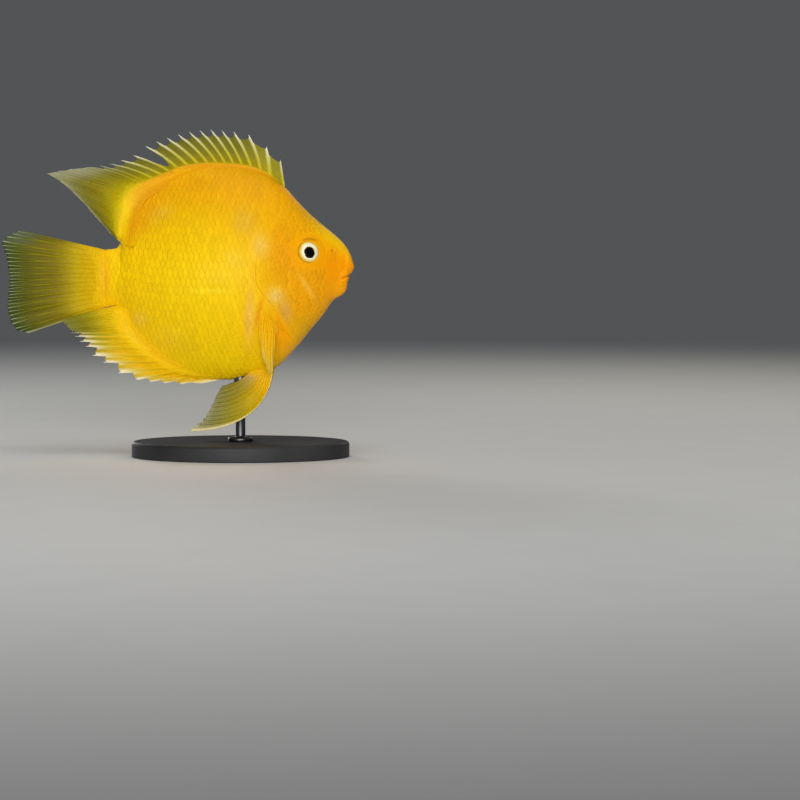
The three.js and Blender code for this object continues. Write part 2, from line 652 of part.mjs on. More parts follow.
function standBase() {
  const { length, width, height, bevel, segments } = BASE;
  const shape = new THREE.Shape();
  shape.absellipse(0, 0, length / 2 - bevel, width / 2 - bevel, 0, 2 * Math.PI, false, 0);
  const geometry = new THREE.ExtrudeGeometry(shape, {
    depth: height - 2 * bevel,
    curveSegments: segments,
    bevelThickness: bevel,
    bevelSize: bevel,
    bevelSegments: 1,
  });
  geometry.translate(0, 0, bevel);
  return toSolid(geometry);
}

function standRod() {
  const { radius, collarRadius, collarHeight, chamfer, reach, sides } = ROD;
  const foot = BASE.height + GAP;
  const top = foot + collarHeight;
  const profile = [
    [0, foot], [collarRadius, foot], [collarRadius, top - chamfer], [collarRadius - chamfer, top],
    [radius, top], [radius, reach], [0, reach],
  ];
  const geometry = new THREE.LatheGeometry(profile.map(([r, z]) => new THREE.Vector2(r, z)), sides);
  geometry.rotateX(Math.PI / 2);
  return toSolid(geometry);
}

// Build
const trunk = bodySolid(0);
const trunkGrown = bodySolid(GAP);
const headFront = inFront(GAP / 2);
let head = bodySolid(0, coverLift).intersect(headFront);
for (const up of [1, -1]) head = head.add(lip(up));
head = head.subtract(mouthSlit());
for (const side of [1, -1]) {
  head = head.subtract(eyeball(side, GAP)).subtract(nostril(side)).subtract(cheekGroove(side));
}
const coverGrown = bodySolid(GAP, coverLift).intersect(inFront(-GAP / 2));
const torso = trunk.subtract(inFront(-GAP / 2)).subtract(behindStalk(GAP / 2));
const stalk = trunk.intersect(behindStalk(-GAP / 2));

const outside = (solid) => solid.subtract(trunkGrown).subtract(coverGrown);
const parts = [
  ["head", head, COLOUR.head],
  ["torso", torso, COLOUR.flank],
  ["tail_stalk", stalk, COLOUR.flank],
  ["dorsal_fin", outside(dorsalFin()), COLOUR.fin],
  ["anal_fin", outside(analFin()), COLOUR.fin],
  ["caudal_fin", caudalFin(), COLOUR.fin],
  ["stand_base", standBase(), COLOUR.base],
  ["stand_rod", outside(standRod()), COLOUR.rod],
];
for (const [side, name] of [[-1, "right"], [1, "left"]]) {
  parts.push(["eye_" + name, eyeball(side, 0), COLOUR.eye]);
  parts.push(["pectoral_fin_" + name, outside(pectoralFin(side)), COLOUR.flank]);
  parts.push(["pelvic_fin_" + name, outside(pelvicFin(side)), COLOUR.fin]);
}

const group = new THREE.Group();
for (const [name, solid, color] of parts) {
  const material = new THREE.MeshStandardMaterial({ color, roughness: 0.4, metalness: 0 });
  const mesh = new THREE.Mesh(toGeometry(largest(solid)), material);
  mesh.name = name;
  group.add(mesh);
}

export default group;
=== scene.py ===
# A life-size display model of a blood parrot cichlid, held over an oval base by one rod.
# Lengths in this script are millimetres, the head towards +X; newPiece turns them into metres.
import math

import bpy
import numpy as np
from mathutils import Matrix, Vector


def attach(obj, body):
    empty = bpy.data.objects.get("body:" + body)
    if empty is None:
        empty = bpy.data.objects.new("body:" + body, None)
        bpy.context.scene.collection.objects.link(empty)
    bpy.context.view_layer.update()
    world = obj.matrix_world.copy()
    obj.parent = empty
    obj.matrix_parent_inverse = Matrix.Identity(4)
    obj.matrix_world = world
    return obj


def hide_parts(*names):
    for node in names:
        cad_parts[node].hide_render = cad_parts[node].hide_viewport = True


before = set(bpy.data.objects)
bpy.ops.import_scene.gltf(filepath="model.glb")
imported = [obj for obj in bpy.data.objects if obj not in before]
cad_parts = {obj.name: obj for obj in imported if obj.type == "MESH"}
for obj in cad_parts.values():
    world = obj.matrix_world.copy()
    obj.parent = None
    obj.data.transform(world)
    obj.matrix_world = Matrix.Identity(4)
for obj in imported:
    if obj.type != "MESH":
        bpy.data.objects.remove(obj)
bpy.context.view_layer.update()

mm = 0.001
rng = np.random.default_rng(11)
sides = {"right": -1, "left": 1}


# Curves and small helpers

def through(points):
    # a cubic through (place, value) pairs that never overshoots them: the slope at a point is
    # the harmonic mean of the slopes beside it, and 0 where they turn; it holds its end values
    place, value = np.array(points, float).T
    rise = np.diff(value) / np.diff(place)
    product = rise[:-1] * rise[1:]
    total = np.where(product > 0, rise[:-1] + rise[1:], 1.0)
    slope = np.concatenate([rise[:1], np.where(product > 0, 2 * product / total, 0), rise[-1:]])

    def at(wanted):
        v = np.clip(wanted, place[0], place[-1])
        k = np.clip(np.searchsorted(place, v, side="right") - 1, 0, len(place) - 2)
        step = place[k + 1] - place[k]
        t = (v - place[k]) / step
        ends = value[k] * (1 + 2 * t) * (1 - t) ** 2 + value[k + 1] * t * t * (3 - 2 * t)
        return ends + step * (slope[k] * t * (1 - t) ** 2 + slope[k + 1] * t * t * (t - 1))

    return at


def smooth(start, end, v):
    # 0 before start, 1 past end, 3t^2 - 2t^3 between; start may lie above end
    t = np.clip((v - start) / (end - start), 0, 1)
    return t * t * (3 - 2 * t)


def bell(distance, width):
    # e to the minus (distance / width) squared
    return np.exp(-(distance / width) ** 2)


def smoothMax(a, b, width):
    # the larger of two values, rounded off where they lie within width of each other
    near = np.clip(1 - np.abs(a - b) / width, 0, 1)
    return np.maximum(a, b) + width * near ** 2 / 4


def towards(colour, target, share):
    # a colour moved by its share of the way to another
    return colour + np.asarray(share)[..., None] * (np.array(target, float) - colour)


def scatter(*shape):
    # seeded random numbers around 0, none past 2 either way
    return rng.standard_normal(shape).clip(-2, 2)


def unit(v):
    return v / np.maximum(np.linalg.norm(v, axis=-1, keepdims=True), 1e-9)


def wholeTurn(steps):
    return np.linspace(0, 2 * math.pi, steps + 1)[:-1]


def linear(rgb):
    # screen colour of 0 to 255 to the light it stands for
    c = np.asarray(rgb, float) / 255
    return np.where(c <= 0.04045, c / 12.92, ((c + 0.055) / 1.055) ** 2.4)


def smoothLine(points, steps):
    # a smooth line through (x, z) points, each coordinate a cubic of the distance walked
    points = np.array(points, float)
    walked = np.concatenate([[0], np.cumsum(np.hypot(*np.diff(points, axis=0).T))])
    t = np.linspace(0, walked[-1], steps)
    x = through(np.column_stack([walked, points[:, 0]]))(t)
    z = through(np.column_stack([walked, points[:, 1]]))(t)
    return np.column_stack([x, z])


def besideLine(x, z, points, steps=24):
    # distance of side-view points to a smooth line, and the share of the line walked there
    line = smoothLine(points, steps)
    best = np.full(np.shape(x), 1e9)
    share = np.zeros(np.shape(x))
    for k in range(len(line) - 1):
        ahead = line[k + 1] - line[k]
        t = ((x - line[k][0]) * ahead[0] + (z - line[k][1]) * ahead[1]) / (ahead @ ahead)
        t = np.clip(t, 0, 1)
        away = np.hypot(x - line[k][0] - t * ahead[0], z - line[k][1] - t * ahead[1])
        nearer = away < best
        best = np.where(nearer, away, best)
        share = np.where(nearer, (k + t) / (len(line) - 1), share)
    return best, share


def newPiece(name, points, faces, material):
    # a mesh piece from millimetre points; it rides on the fish and shades smooth
    mesh = bpy.data.meshes.new(name)
    mesh.from_pydata((np.asarray(points) * mm).tolist(), [], faces)
    mesh.update()
    mesh.shade_smooth()
    mesh.materials.append(material)
    piece = bpy.data.objects.new(name, mesh)
    bpy.context.scene.collection.objects.link(piece)
    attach(piece, "root")
    return piece


def paint(piece, name, colours):
    # a colour for each vertex, given as screen colours of 0 to 255
    layer = piece.data.attributes.new(name, "FLOAT_COLOR", "POINT")
    rgba = np.ones((len(colours), 4), np.float32)
    rgba[:, :3] = linear(np.clip(colours, 0, 255))
    layer.data.foreach_set("color", rgba.ravel())


def number(piece, name, values):
    layer = piece.data.attributes.new(name, "FLOAT", "POINT")
    layer.data.foreach_set("value", np.asarray(values, np.float32))


def flatMap(piece, name, places):
    # a UV map from one place for each vertex
    mesh = piece.data
    corner = np.zeros(len(mesh.loops), np.int32)
    mesh.loops.foreach_get("vertex_index", corner)
    layer = mesh.uv_layers.new(name=name)
    layer.data.foreach_set("uv", np.asarray(places, np.float32)[corner].ravel())


def gridFaces(columns, rows, closed=False):
    # quads of a grid whose rows run fastest; closed joins the last column to the first
    c = np.arange(columns if closed else columns - 1)
    r = np.arange(rows - 1)
    a = (c[:, None] * rows + r).ravel()
    b = (((c + 1) % columns)[:, None] * rows + r).ravel()
    return np.column_stack([a, b, b + 1, a + 1])


def fan(middle, ring, following):
    # triangles from one point to a ring of points
    return np.column_stack([np.full(len(ring), middle), ring, following]).tolist()


def capped(grid, low, high):
    # the points and faces of a closed grid, with a pole at each end of its columns
    columns, rows = grid.shape[:2]
    first = np.arange(columns) * rows
    following = np.roll(first, -1)
    pole = columns * rows
    faces = gridFaces(columns, rows, closed=True).tolist()
    faces += fan(pole, following, first)
    faces += fan(pole + 1, first + rows - 1, following + rows - 1)
    return np.vstack([grid.reshape(-1, 3), [low, high]]), faces


def shellFaces(columns, rows, closed=False):
    # both faces of a sheet, the back's points following the front's, and strips along its edges
    front = gridFaces(columns, rows, closed)
    back = columns * rows
    quads = [front, front[:, ::-1] + back]
    ends = np.arange(columns + 1 if closed else columns) % columns * rows
    edges = [(ends, False), (ends + rows - 1, True)]
    if not closed:
        edges += [(np.arange(rows), True), (np.arange(rows) + (columns - 1) * rows, False)]
    for edge, flip in edges:
        a, b = edge[:-1], edge[1:]
        strip = np.column_stack([a, a + back, b + back, b])
        quads.append(strip[:, ::-1] if flip else strip)
    return np.vstack(quads)


def turnedOut(points, faces, out):
    # the faces, all turned round if the first one looks against the way given
    a, b, c = (points[i] for i in faces[0][:3])
    return faces if np.cross(b - a, c - a) @ out >= 0 else [face[::-1] for face in faces]


# Materials

def node(tree, kind, inputs=(), **settings):
    made = tree.nodes.new(kind)
    for key, value in settings.items():
        setattr(made, key, value)
    for key, value in dict(inputs).items():
        if isinstance(value, bpy.types.NodeSocket):
            tree.links.new(value, made.inputs[key])
        else:
            made.inputs[key].default_value = value
    return made


def calc(tree, operation, first, second=0.0):
    return node(tree, "ShaderNodeMath", {0: first, 1: second}, operation=operation).outputs[0]


def mixed(tree, share, first, second, way="MIX"):
    # the Mix node's colour sockets go by number, because its other kinds share their names
    inputs = {0: share, 6: first, 7: second}
    return node(tree, "ShaderNodeMix", inputs, data_type="RGBA", blend_type=way).outputs[2]


def between(tree, value, low, high, toLow, toHigh):
    inputs = {"Value": value, "From Min": low, "From Max": high, "To Min": toLow, "To Max": toHigh}
    return node(tree, "ShaderNodeMapRange", inputs).outputs[0]


def swing(tree, noise, low, high):
    # the middle of a noise's range spread over low to high
    return between(tree, noise, 0.3, 0.7, low, high)


def brightened(tree, colour, value):
    return node(tree, "ShaderNodeHueSaturation", {"Color": colour, "Value": value}).outputs[0]


def speckle(tree, scale, detail=2.0, stretch=(1, 1, 1)):
    place = node(tree, "ShaderNodeTexCoord").outputs["Object"]
    if stretch != (1, 1, 1):
        place = node(tree, "ShaderNodeMapping", {"Vector": place, "Scale": stretch}).outputs[0]
    inputs = {"Vector": place, "Scale": scale, "Detail": detail}
    return node(tree, "ShaderNodeTexNoise", inputs).outputs["Fac"]


def raised(tree, height, depth, strength=1.0, under=None):
    inputs = {"Height": height, "Distance": depth, "Strength": strength}
    if under is not None:
        inputs["Normal"] = under
    return node(tree, "ShaderNodeBump", inputs).outputs[0]


def attribute(tree, name, output="Color"):
    return node(tree, "ShaderNodeAttribute", attribute_name=name).outputs[output]


def mapParts(tree, name):
    # the place in a UV map, and its two numbers apart
    place = node(tree, "ShaderNodeUVMap", uv_map=name).outputs[0]
    apart = node(tree, "ShaderNodeSeparateXYZ", {0: place}).outputs
    return place, apart[0], apart[1]


def screen(rgb):
    return (*linear(rgb), 1)


def newMaterial(name):
    material = bpy.data.materials.new(name)
    material.use_nodes = True
    material.node_tree.nodes.clear()
    return material, material.node_tree


def finished(material, shader):
    node(material.node_tree, "ShaderNodeOutputMaterial", {"Surface": shader.outputs[0]})
    return material


skinFinish = {
    "mottleSize": 5.0,
    "mottle": 0.04,
    "deepTint": (0.97, 0.86, 0.5, 1),
    "grain": 1400.0,  # noise cells to a metre, for the light and the gloss
    "pores": 2600.0,
    "poreDepth": 0.05,
    "rings": 46.0,  # radians of a sine from a scale's middle to its edge
    "rays": 34.0,  # and for each radian of turn
    "ringDepth": 0.012,
    "roughness": (0.42, 0.56),
    "shine": 0.26,
    "shineTint": (1.0, 0.8, 0.22, 1),
    "coat": 0.02,
    "glow": 0.12,
}


def skinMaterial(name, scaled):
    # the painted markings, mottled by two noises; scales add faint rings and rays as bump: the
    # sine of the distance from their middle, and of the turn round a point in front of it
    material, tree = newMaterial(name)
    hide = attribute(tree, "hide")
    mottle = speckle(tree, 1 / (skinFinish["mottleSize"] * mm), 3.0)
    grain = speckle(tree, skinFinish["grain"])
    deep = mixed(tree, 1.0, hide, skinFinish["deepTint"], "MULTIPLY")
    share = between(tree, mottle, 0.35, 0.75, 0.0, skinFinish["mottle"] * 3)
    colour = brightened(tree, mixed(tree, share, hide, deep), swing(tree, grain, 0.94, 1.05))
    normal = raised(tree, speckle(tree, skinFinish["pores"]), skinFinish["poreDepth"] * mm, 0.5)
    if scaled:
        along, across = mapParts(tree, "disc")[1:]
        squares = [calc(tree, "POWER", part, 2.0) for part in (along, across)]
        out = calc(tree, "SQRT", calc(tree, "ADD", *squares))
        rings = calc(tree, "SINE", calc(tree, "MULTIPLY", out, skinFinish["rings"]))
        turn = calc(tree, "ARCTAN2", across, calc(tree, "ADD", along, 1.4))
        rays = calc(tree, "SINE", calc(tree, "MULTIPLY", turn, skinFinish["rays"]))
        relief = calc(tree, "ADD", rings, calc(tree, "MULTIPLY", rays, 1.4))
        normal = raised(tree, relief, skinFinish["ringDepth"] * mm, 0.8, normal)
    return finished(material, node(tree, "ShaderNodeBsdfPrincipled", {
        "Base Color": colour, "Roughness": swing(tree, grain, *skinFinish["roughness"]), "Normal": normal,
        "Specular IOR Level": skinFinish["shine"], "Specular Tint": skinFinish["shineTint"],
        "Coat Weight": skinFinish["coat"], "Coat Roughness": 0.16,
        "Subsurface Weight": skinFinish["glow"], "Subsurface Scale": 0.003,
        "Subsurface Radius": (1.0, 0.5, 0.1),
    }))


finFinish = {
    "rayWidth": 0.085,  # half of it, as a share of the way to the next ray
    "spineWidth": 0.19,
    "joints": 1.1,  # between the joints of a soft ray
    "jointDark": 0.4,
    "rayDepth": 0.10,
    "veins": 1600.0,  # noise cells to a metre
    "veinDepth": 0.04,
    "through": 0.22,  # share of the light that passes
}


def finMaterial():
    # rays drawn on the web from its own map, where u counts the rays: a line is dark where u's
    # distance to a whole number, less those of the branch and the twig, is under its width
    material, tree = newMaterial("finWeb")
    off = calc(tree, "PINGPONG", mapParts(tree, "rays")[1], 0.5)
    for layer in ("branch", "twig"):
        off = calc(tree, "ABSOLUTE", calc(tree, "SUBTRACT", off, attribute(tree, layer, "Fac")))
    inWidths = calc(tree, "DIVIDE", off, attribute(tree, "lineWidth", "Fac"))
    ray = between(tree, inWidths, 0.45, 1.25, 1.0, 0.0)
    joint = calc(tree, "PINGPONG", attribute(tree, "reach", "Fac"), finFinish["joints"] / 2)
    joint = calc(tree, "MULTIPLY", attribute(tree, "soft", "Fac"), between(tree, joint, 0.0, 0.12, 1.0, 0.0))
    whole = calc(tree, "SUBTRACT", 1.0, calc(tree, "MULTIPLY", joint, finFinish["jointDark"]))
    shown = calc(tree, "MULTIPLY", ray, whole)
    veins = speckle(tree, finFinish["veins"], 3.0, (0.35, 1, 1))
    film = brightened(tree, attribute(tree, "web"), swing(tree, veins, 0.88, 1.1))
    share = calc(tree, "MULTIPLY", shown, attribute(tree, "rayShow", "Fac"))
    colour = mixed(tree, share, film, attribute(tree, "ray"))
    normal = raised(tree, shown, finFinish["rayDepth"] * mm, 0.7)
    normal = raised(tree, veins, finFinish["veinDepth"] * mm, 0.5, normal)
    alpha = calc(tree, "MAXIMUM", calc(tree, "MULTIPLY", ray, 0.9), attribute(tree, "film", "Fac"))
    front = node(tree, "ShaderNodeBsdfPrincipled", {
        "Base Color": colour, "Normal": normal, "Alpha": alpha, "Roughness": swing(tree, veins, 0.38, 0.54),
        "Specular IOR Level": 0.2, "Specular Tint": (1.0, 0.9, 0.5, 1),
    })
    passed = node(tree, "ShaderNodeBsdfTranslucent", {"Color": colour, "Normal": normal})
    inputs = {0: finFinish["through"], 1: front.outputs[0], 2: passed.outputs[0]}
    return finished(material, node(tree, "ShaderNodeMixShader", inputs))


eyeFinish = {
    "stops": [  # share of the eye's radius and screen colour
        (0.0, (3, 2, 2)), (0.455, (5, 3, 3)), (0.475, (90, 66, 24)), (0.505, (222, 208, 150)),
        (0.56, (255, 251, 226)), (0.68, (252, 242, 196)), (0.78, (238, 214, 120)),
        (0.87, (222, 184, 50)), (1.0, (188, 136, 20)),
    ],
    "fibres": (60.0, 3.0, 1.0),  # round the iris and across it
    "fibreDepth": 0.08,
    "blots": 620.0,
}


def eyeMaterial():
    # rings by the share of the eye's radius: pupil, gold edge, pale iris with fibres, dark rim
    material, tree = newMaterial("eyeGloss")
    way, turn, out = mapParts(tree, "iris")
    stretched = node(tree, "ShaderNodeMapping", {"Vector": way, "Scale": eyeFinish["fibres"]}).outputs[0]
    fibres = node(tree, "ShaderNodeTexNoise", {"Vector": stretched, "Scale": 1.0, "Detail": 3.0}).outputs[0]
    uneven = calc(tree, "ADD", out, swing(tree, speckle(tree, eyeFinish["blots"]), -0.03, 0.03))
    ramp = node(tree, "ShaderNodeValToRGB", {0: uneven})
    points = ramp.color_ramp.elements
    while len(points) < len(eyeFinish["stops"]):
        points.new(0.5)
    for point, (place, rgb) in zip(points, eyeFinish["stops"]):
        point.position = place
        point.color = screen(rgb)
    iris = between(tree, out, 0.45, 0.52, 0.0, 1.0)
    streaked = brightened(tree, ramp.outputs[0], swing(tree, fibres, 0.80, 1.06))
    return finished(material, node(tree, "ShaderNodeBsdfPrincipled", {
        "Base Color": mixed(tree, iris, ramp.outputs[0], streaked),
        "Roughness": between(tree, turn, 0.0, 1.0, 0.3, 0.34),
        "Normal": raised(tree, calc(tree, "MULTIPLY", fibres, iris), eyeFinish["fibreDepth"] * mm, 0.5),
        "Specular IOR Level": 0.1, "Coat Weight": 0.5, "Coat Roughness": 0.02, "Coat IOR": 1.38,
    }))


standFinish = {
    "lacquer": ((38, 38, 40), (52, 52, 54)),
    "lacquerPeel": 900.0,  # noise cells to a metre
    "lacquerCloud": 38.0,
    "steel": ((74, 75, 78), (96, 97, 100)),
    "steelLines": 900.0,
    "depth": 0.02,
}


def baseMaterial():
    # near-black satin lacquer with a fine orange-peel surface and a few paler specks
    material, tree = newMaterial("satinLacquer")
    broad = speckle(tree, standFinish["lacquerCloud"], 3.0)
    share = between(tree, broad, 0.35, 0.7, 0.0, 1.0)
    dark, pale = [screen(rgb) for rgb in standFinish["lacquer"]]
    return finished(material, node(tree, "ShaderNodeBsdfPrincipled", {
        "Base Color": mixed(tree, share, dark, pale),
        "Roughness": swing(tree, broad, 0.46, 0.58), "Specular IOR Level": 0.25,
        "Normal": raised(tree, speckle(tree, standFinish["lacquerPeel"]), standFinish["depth"] * mm, 0.5),
    }))


def rodMaterial():
    # blackened steel brushed round the rod: noise squeezed flat along its height
    material, tree = newMaterial("blackenedSteel")
    lines = speckle(tree, standFinish["steelLines"], 4.0, (0.05, 0.05, 6.0))
    dark, pale = [screen(rgb) for rgb in standFinish["steel"]]
    return finished(material, node(tree, "ShaderNodeBsdfPrincipled", {
        "Base Color": mixed(tree, swing(tree, lines, 0.0, 1.0), dark, pale),
        "Metallic": 1.0, "Roughness": swing(tree, lines, 0.32, 0.44),
        "Normal": raised(tree, lines, standFinish["depth"] * mm, 0.5),
    }))


def floorMaterial():
    # a pale matt floor that thins out to nothing with its distance from the middle
    material, tree = newMaterial("paleFloor")
    place = node(tree, "ShaderNodeTexCoord").outputs["Object"]
    far = node(tree, "ShaderNodeVectorMath", {0: place}, operation="LENGTH").outputs["Value"]
    pale = mixed(tree, speckle(tree, floor["cloud"], 3.0), *floor["colours"])
    shader = node(tree, "ShaderNodeBsdfPrincipled", {
        "Base Color": pale, "Roughness": 0.7, "Specular IOR Level": 0.1})
    clear = node(tree, "ShaderNodeBsdfTransparent")
    share = node(tree, "ShaderNodeMapRange", {
        "Value": far, "From Min": floor["fadeFrom"] * mm, "From Max": floor["fadeTo"] * mm,
    }, interpolation_type="SMOOTHSTEP")
    inputs = {0: share.outputs[0], 1: shader.outputs[0], 2: clear.outputs[0]}
    return finished(material, node(tree, "ShaderNodeMixShader", inputs))


# Camera, lights and floor

view = {
    "scale": 0.5128,  # millimetres to a pixel at the fish
    "fishMiddle": (-30.8, 0.0, 90.8),
    "fishRight": -220,  # pixels of the fish's middle from the frame's middle
    "fishUp": 120,
    "distance": 1600,
    "pitch": 4.0,  # degrees that the camera looks down
    "frame": 800,
    "sensor": 36.0,
}
lamps = [  # name, place, size, watts, colour
    ("key", (205, -3100, 400), 1120, 57, (1.0, 0.985, 0.96)),
    ("fill", (-695, -2900, 260), 600, 18.4, (0.98, 0.98, 1.0)),
    ("top", (60, -420, 1150), 700, 4.0, (1.0, 1.0, 1.0)),
    ("rim", (600, 900, 600), 500, 1.4, (1.0, 0.92, 0.7)),
    ("back", (-1500, 2700, 900), 1400, 30, (1.0, 1.0, 1.0)),
]
lampAim = (-25, 0, 90)
floor = {
    "radius": 2600, "sides": 96, "under": 0.1, "fadeFrom": 380, "fadeTo": 1250,
    "cloud": 30.0, "colours": ((0.78, 0.78, 0.77, 1), (0.83, 0.83, 0.82, 1)),
}
room = (0.085, 0.088, 0.092, 1)


def lookAlong(thing, place, target):
    thing.location = Vector(place) * mm
    thing.rotation_euler = (Vector(target) - Vector(place)).to_track_quat("-Z", "Y").to_euler()


def makeCamera():
    pitch = math.radians(view["pitch"])
    ahead = np.array([0, math.cos(pitch), -math.sin(pitch)])
    up = np.array([0, math.sin(pitch), math.cos(pitch)])
    offCentre = view["fishRight"] * np.array([1.0, 0, 0]) + view["fishUp"] * up
    aim = np.array(view["fishMiddle"]) - view["scale"] * offCentre
    data = bpy.data.cameras.new("camera")
    data.sensor_width = view["sensor"]
    data.lens = view["distance"] / (view["scale"] * view["frame"]) * view["sensor"]
    data.clip_start, data.clip_end = 0.05, 20
    camera = bpy.data.objects.new("camera", data)
    bpy.context.scene.collection.objects.link(camera)
    lookAlong(camera, aim - view["distance"] * ahead, aim)
    bpy.context.scene.camera = camera


def makeStage():
    for name, place, size, watts, colour in lamps:
        data = bpy.data.lights.new(name, "AREA")
        data.energy, data.size, data.color = watts, size * mm, colour
        lamp = bpy.data.objects.new(name, data)
        bpy.context.scene.collection.objects.link(lamp)
        lookAlong(lamp, place, lampAim)
    turns = wholeTurn(floor["sides"])
    rim = np.column_stack([np.cos(turns), np.sin(turns), np.zeros(len(turns))]) * floor["radius"]
    mesh = bpy.data.meshes.new("floor")
    mesh.from_pydata(((rim - (0, 0, floor["under"])) * mm).tolist(), [], [list(range(len(rim)))])
    mesh.materials.append(floorMaterial())
    ground = bpy.data.objects.new("floor", mesh)
    bpy.context.scene.collection.objects.link(ground)
    world = bpy.data.worlds.new("studio")
    world.use_nodes = True
    background = world.node_tree.nodes["Background"]
    background.inputs[0].default_value = room
    background.inputs[1].default_value = 1.0
    bpy.context.scene.world = world
    bpy.context.scene.view_settings.view_transform = "Standard"


# The body

body = {
    "snoutX": 58.5,
    "snoutRound": (52.6, 6.25, 5.3),  # middle, half length and half width
    "stalkX": -68.8,
    "backLine": [
        (-68.8, 106.4), (-63.6, 106.9), (-61.4, 109.6), (-60.2, 119), (-58.4, 128.6), (-53.8, 135.8),
        (-44, 142.2), (-35, 146.2), (-25, 148.9), (-15, 149.8), (-4, 149.2), (5, 147.8), (13, 145.2),
        (18, 142.4), (21.5, 139.9), (25.4, 136.0), (28.3, 132.6), (34.2, 126.3), (41.3, 119.9), (48, 114.4),
        (53.6, 108.9), (57.2, 102.6), (58.5, 98.0)],
    "bellyLine": [
        (-68.8, 76.9), (-63, 77.6), (-61.2, 74), (-58.6, 64.8), (-53, 56.4), (-45, 49), (-33, 42.6),
        (-20, 39.7), (-6, 39.7), (6, 42.2), (18.5, 46.2), (26, 53.1), (34.1, 63.1), (43.1, 73.6),
        (47.7, 80.3), (53.6, 84.4), (54.8, 87), (55.3, 90.4), (55.9, 92.9), (58.5, 97.2)],
    "halfWidth": [
        (-68.8, 3.4), (-62, 5.6), (-56, 8.8), (-46, 13.2), (-32, 18.3), (-18, 21.8), (-4, 23.4), (8, 23),
        (20, 21), (30, 17.8), (38, 14.4), (45, 10.6), (50.6, 7), (55, 4.7), (58.5, 1.8)],
    "backPinch": [
        (-68.8, 1.1), (-65, 1.4), (-61, 3.4), (-58.5, 4.2), (-54, 3.6), (-46, 2.9), (-30, 2.1),
        (-10, 1.6), (8, 1.36), (24, 1.1), (40, 1.02), (58.5, 1.0)],
    "bellyPinch": [
        (-68.8, 1.0), (-65, 1.3), (-61, 3.2), (-58, 4.0), (-53, 3.6), (-45, 3.0), (-30, 2.3),
        (-10, 1.5), (5, 1.1), (20, 0.96), (58.5, 0.93)],
    "gillEdge": [
        (31, 143), (26.2, 134), (22, 127.7), (18.3, 120.5), (13.8, 112.3), (10.3, 105.1), (9, 97.9),
        (9.2, 90.8), (12.3, 84.6), (16.9, 79), (20.5, 72.8), (24.1, 65.1), (28.7, 58.5), (34, 50)],
    "coverProud": 0.8,
    "cheekGroove": [(27, 101.5), (25.2, 96), (25, 90), (26.8, 84), (30.4, 78.8), (36, 74.6)],
    "cheekFold": [(30.8, 93.3), (33.6, 90.2), (36.4, 86.4), (39, 80.5)],
    "jawGroove": [(57.7, 101.4), (55.4, 98.6), (53.0, 96.4), (51.2, 94.0), (50.0, 91.2), (49.8, 88.6)],
    "chinGroove": [(54.8, 88.6), (53.0, 87.6), (51.4, 87.8), (50.2, 89.2)],
    "folds": [  # line, height, width
        ("cheekGroove", -0.22, 0.8), ("cheekFold", 0.3, 1.3), ("jawGroove", -0.16, 0.7),
        ("chinGroove", -0.14, 0.6)],
    "rings": 320,
    "around": 300,
    "tip": 0.05,  # that the closing point stands ahead of the last ring
}
eye = {"x": 35.9, "z": 105.6, "radius": 6.0, "halfDepth": 3.3, "sunk": 1.6, "socket": 3.2,
       "pupilAhead": -0.65, "pupilUp": -1.05, "backDepth": 0.6, "around": 96}
mouth = {"x": 52.6, "z": 91.9, "rise": 0.36, "upperLip": 0.5, "lowerLip": 0.45, "slit": 0.6}
nostril = {"x": 47.8, "z": 106.0, "depth": 0.6}

backZ, bellyZ = through(body["backLine"]), through(body["bellyLine"])
plainWidth = through(body["halfWidth"])
backPinch, bellyPinch = through(body["backPinch"]), through(body["bellyPinch"])
gillX = through([(z, x) for x, z in reversed(body["gillEdge"])])


def halfWidth(x):
    # the named widths, rounded off at the snout by an ellipse
    middle, length, width = body["snoutRound"]
    snoutRound = width * np.sqrt(np.clip(1 - ((x - middle) / length) ** 2, 0.002, 1))
    share = smooth(52, 56, x)
    return plainWidth(x) * (1 - share) + snoutRound * share


def widestZ(x):
    # a little below half the height of the body, a little above it on the head
    return bellyZ(x) + (0.46 + 0.08 * smooth(10, 45, x)) * (backZ(x) - bellyZ(x))


def ringPoint(x, angle):
    # a ring round the body: width times a power of |cos| across, the sine up or down from the
    # widest line. The power grows towards the rear, where the body thins out into its fins
    c, s = np.cos(angle), np.sin(angle)
    middle = widestZ(x)
    pinch = np.where(s > 0, backPinch(x), bellyPinch(x))
    y = np.sign(c) * halfWidth(x) * np.abs(c) ** pinch
    z = middle + s * np.where(s > 0, backZ(x) - middle, middle - bellyZ(x))
    return np.stack(np.broadcast_arrays(x, y, z), -1)


def onBody(x, margin=0.0):
    return np.clip(x, body["stalkX"], body["snoutX"] - margin)


def ringNormal(x, angle):
    # across the surface's two directions, both measured over a short step
    step, turn = 0.06, 0.004
    ahead = ringPoint(onBody(x + step), angle) - ringPoint(onBody(x - step), angle)
    about = ringPoint(x, angle + turn) - ringPoint(x, angle - turn)
    return unit(np.cross(about, ahead))


def bodyHalfY(x, z):
    # half the body's thickness at a side-view point, 0 outside its outline
    middle = widestZ(x)
    up = z > middle
    s = np.where(up, (z - middle) / (backZ(x) - middle), (middle - z) / (middle - bellyZ(x)))
    pinch = np.where(up, backPinch(x), bellyPinch(x))
    return halfWidth(x) * np.clip(1 - s * s, 0, 1) ** (pinch / 2)


def flankNormal(x, z, side):
    # across the flank, from how fast its half thickness falls off ahead and upwards
    step = 0.5
    slopeX = (bodyHalfY(x + step, z) - bodyHalfY(x - step, z)) / (2 * step)
    slopeZ = (bodyHalfY(x, z + step) - bodyHalfY(x, z - step)) / (2 * step)
    return unit(np.stack([-slopeX, side * np.ones_like(slopeX), -slopeZ], -1))


def awayFrom(thing, x, z):
    # side-view distance to the middle of the eye or of the nostril
    return np.hypot(x - thing["x"], z - thing["z"])


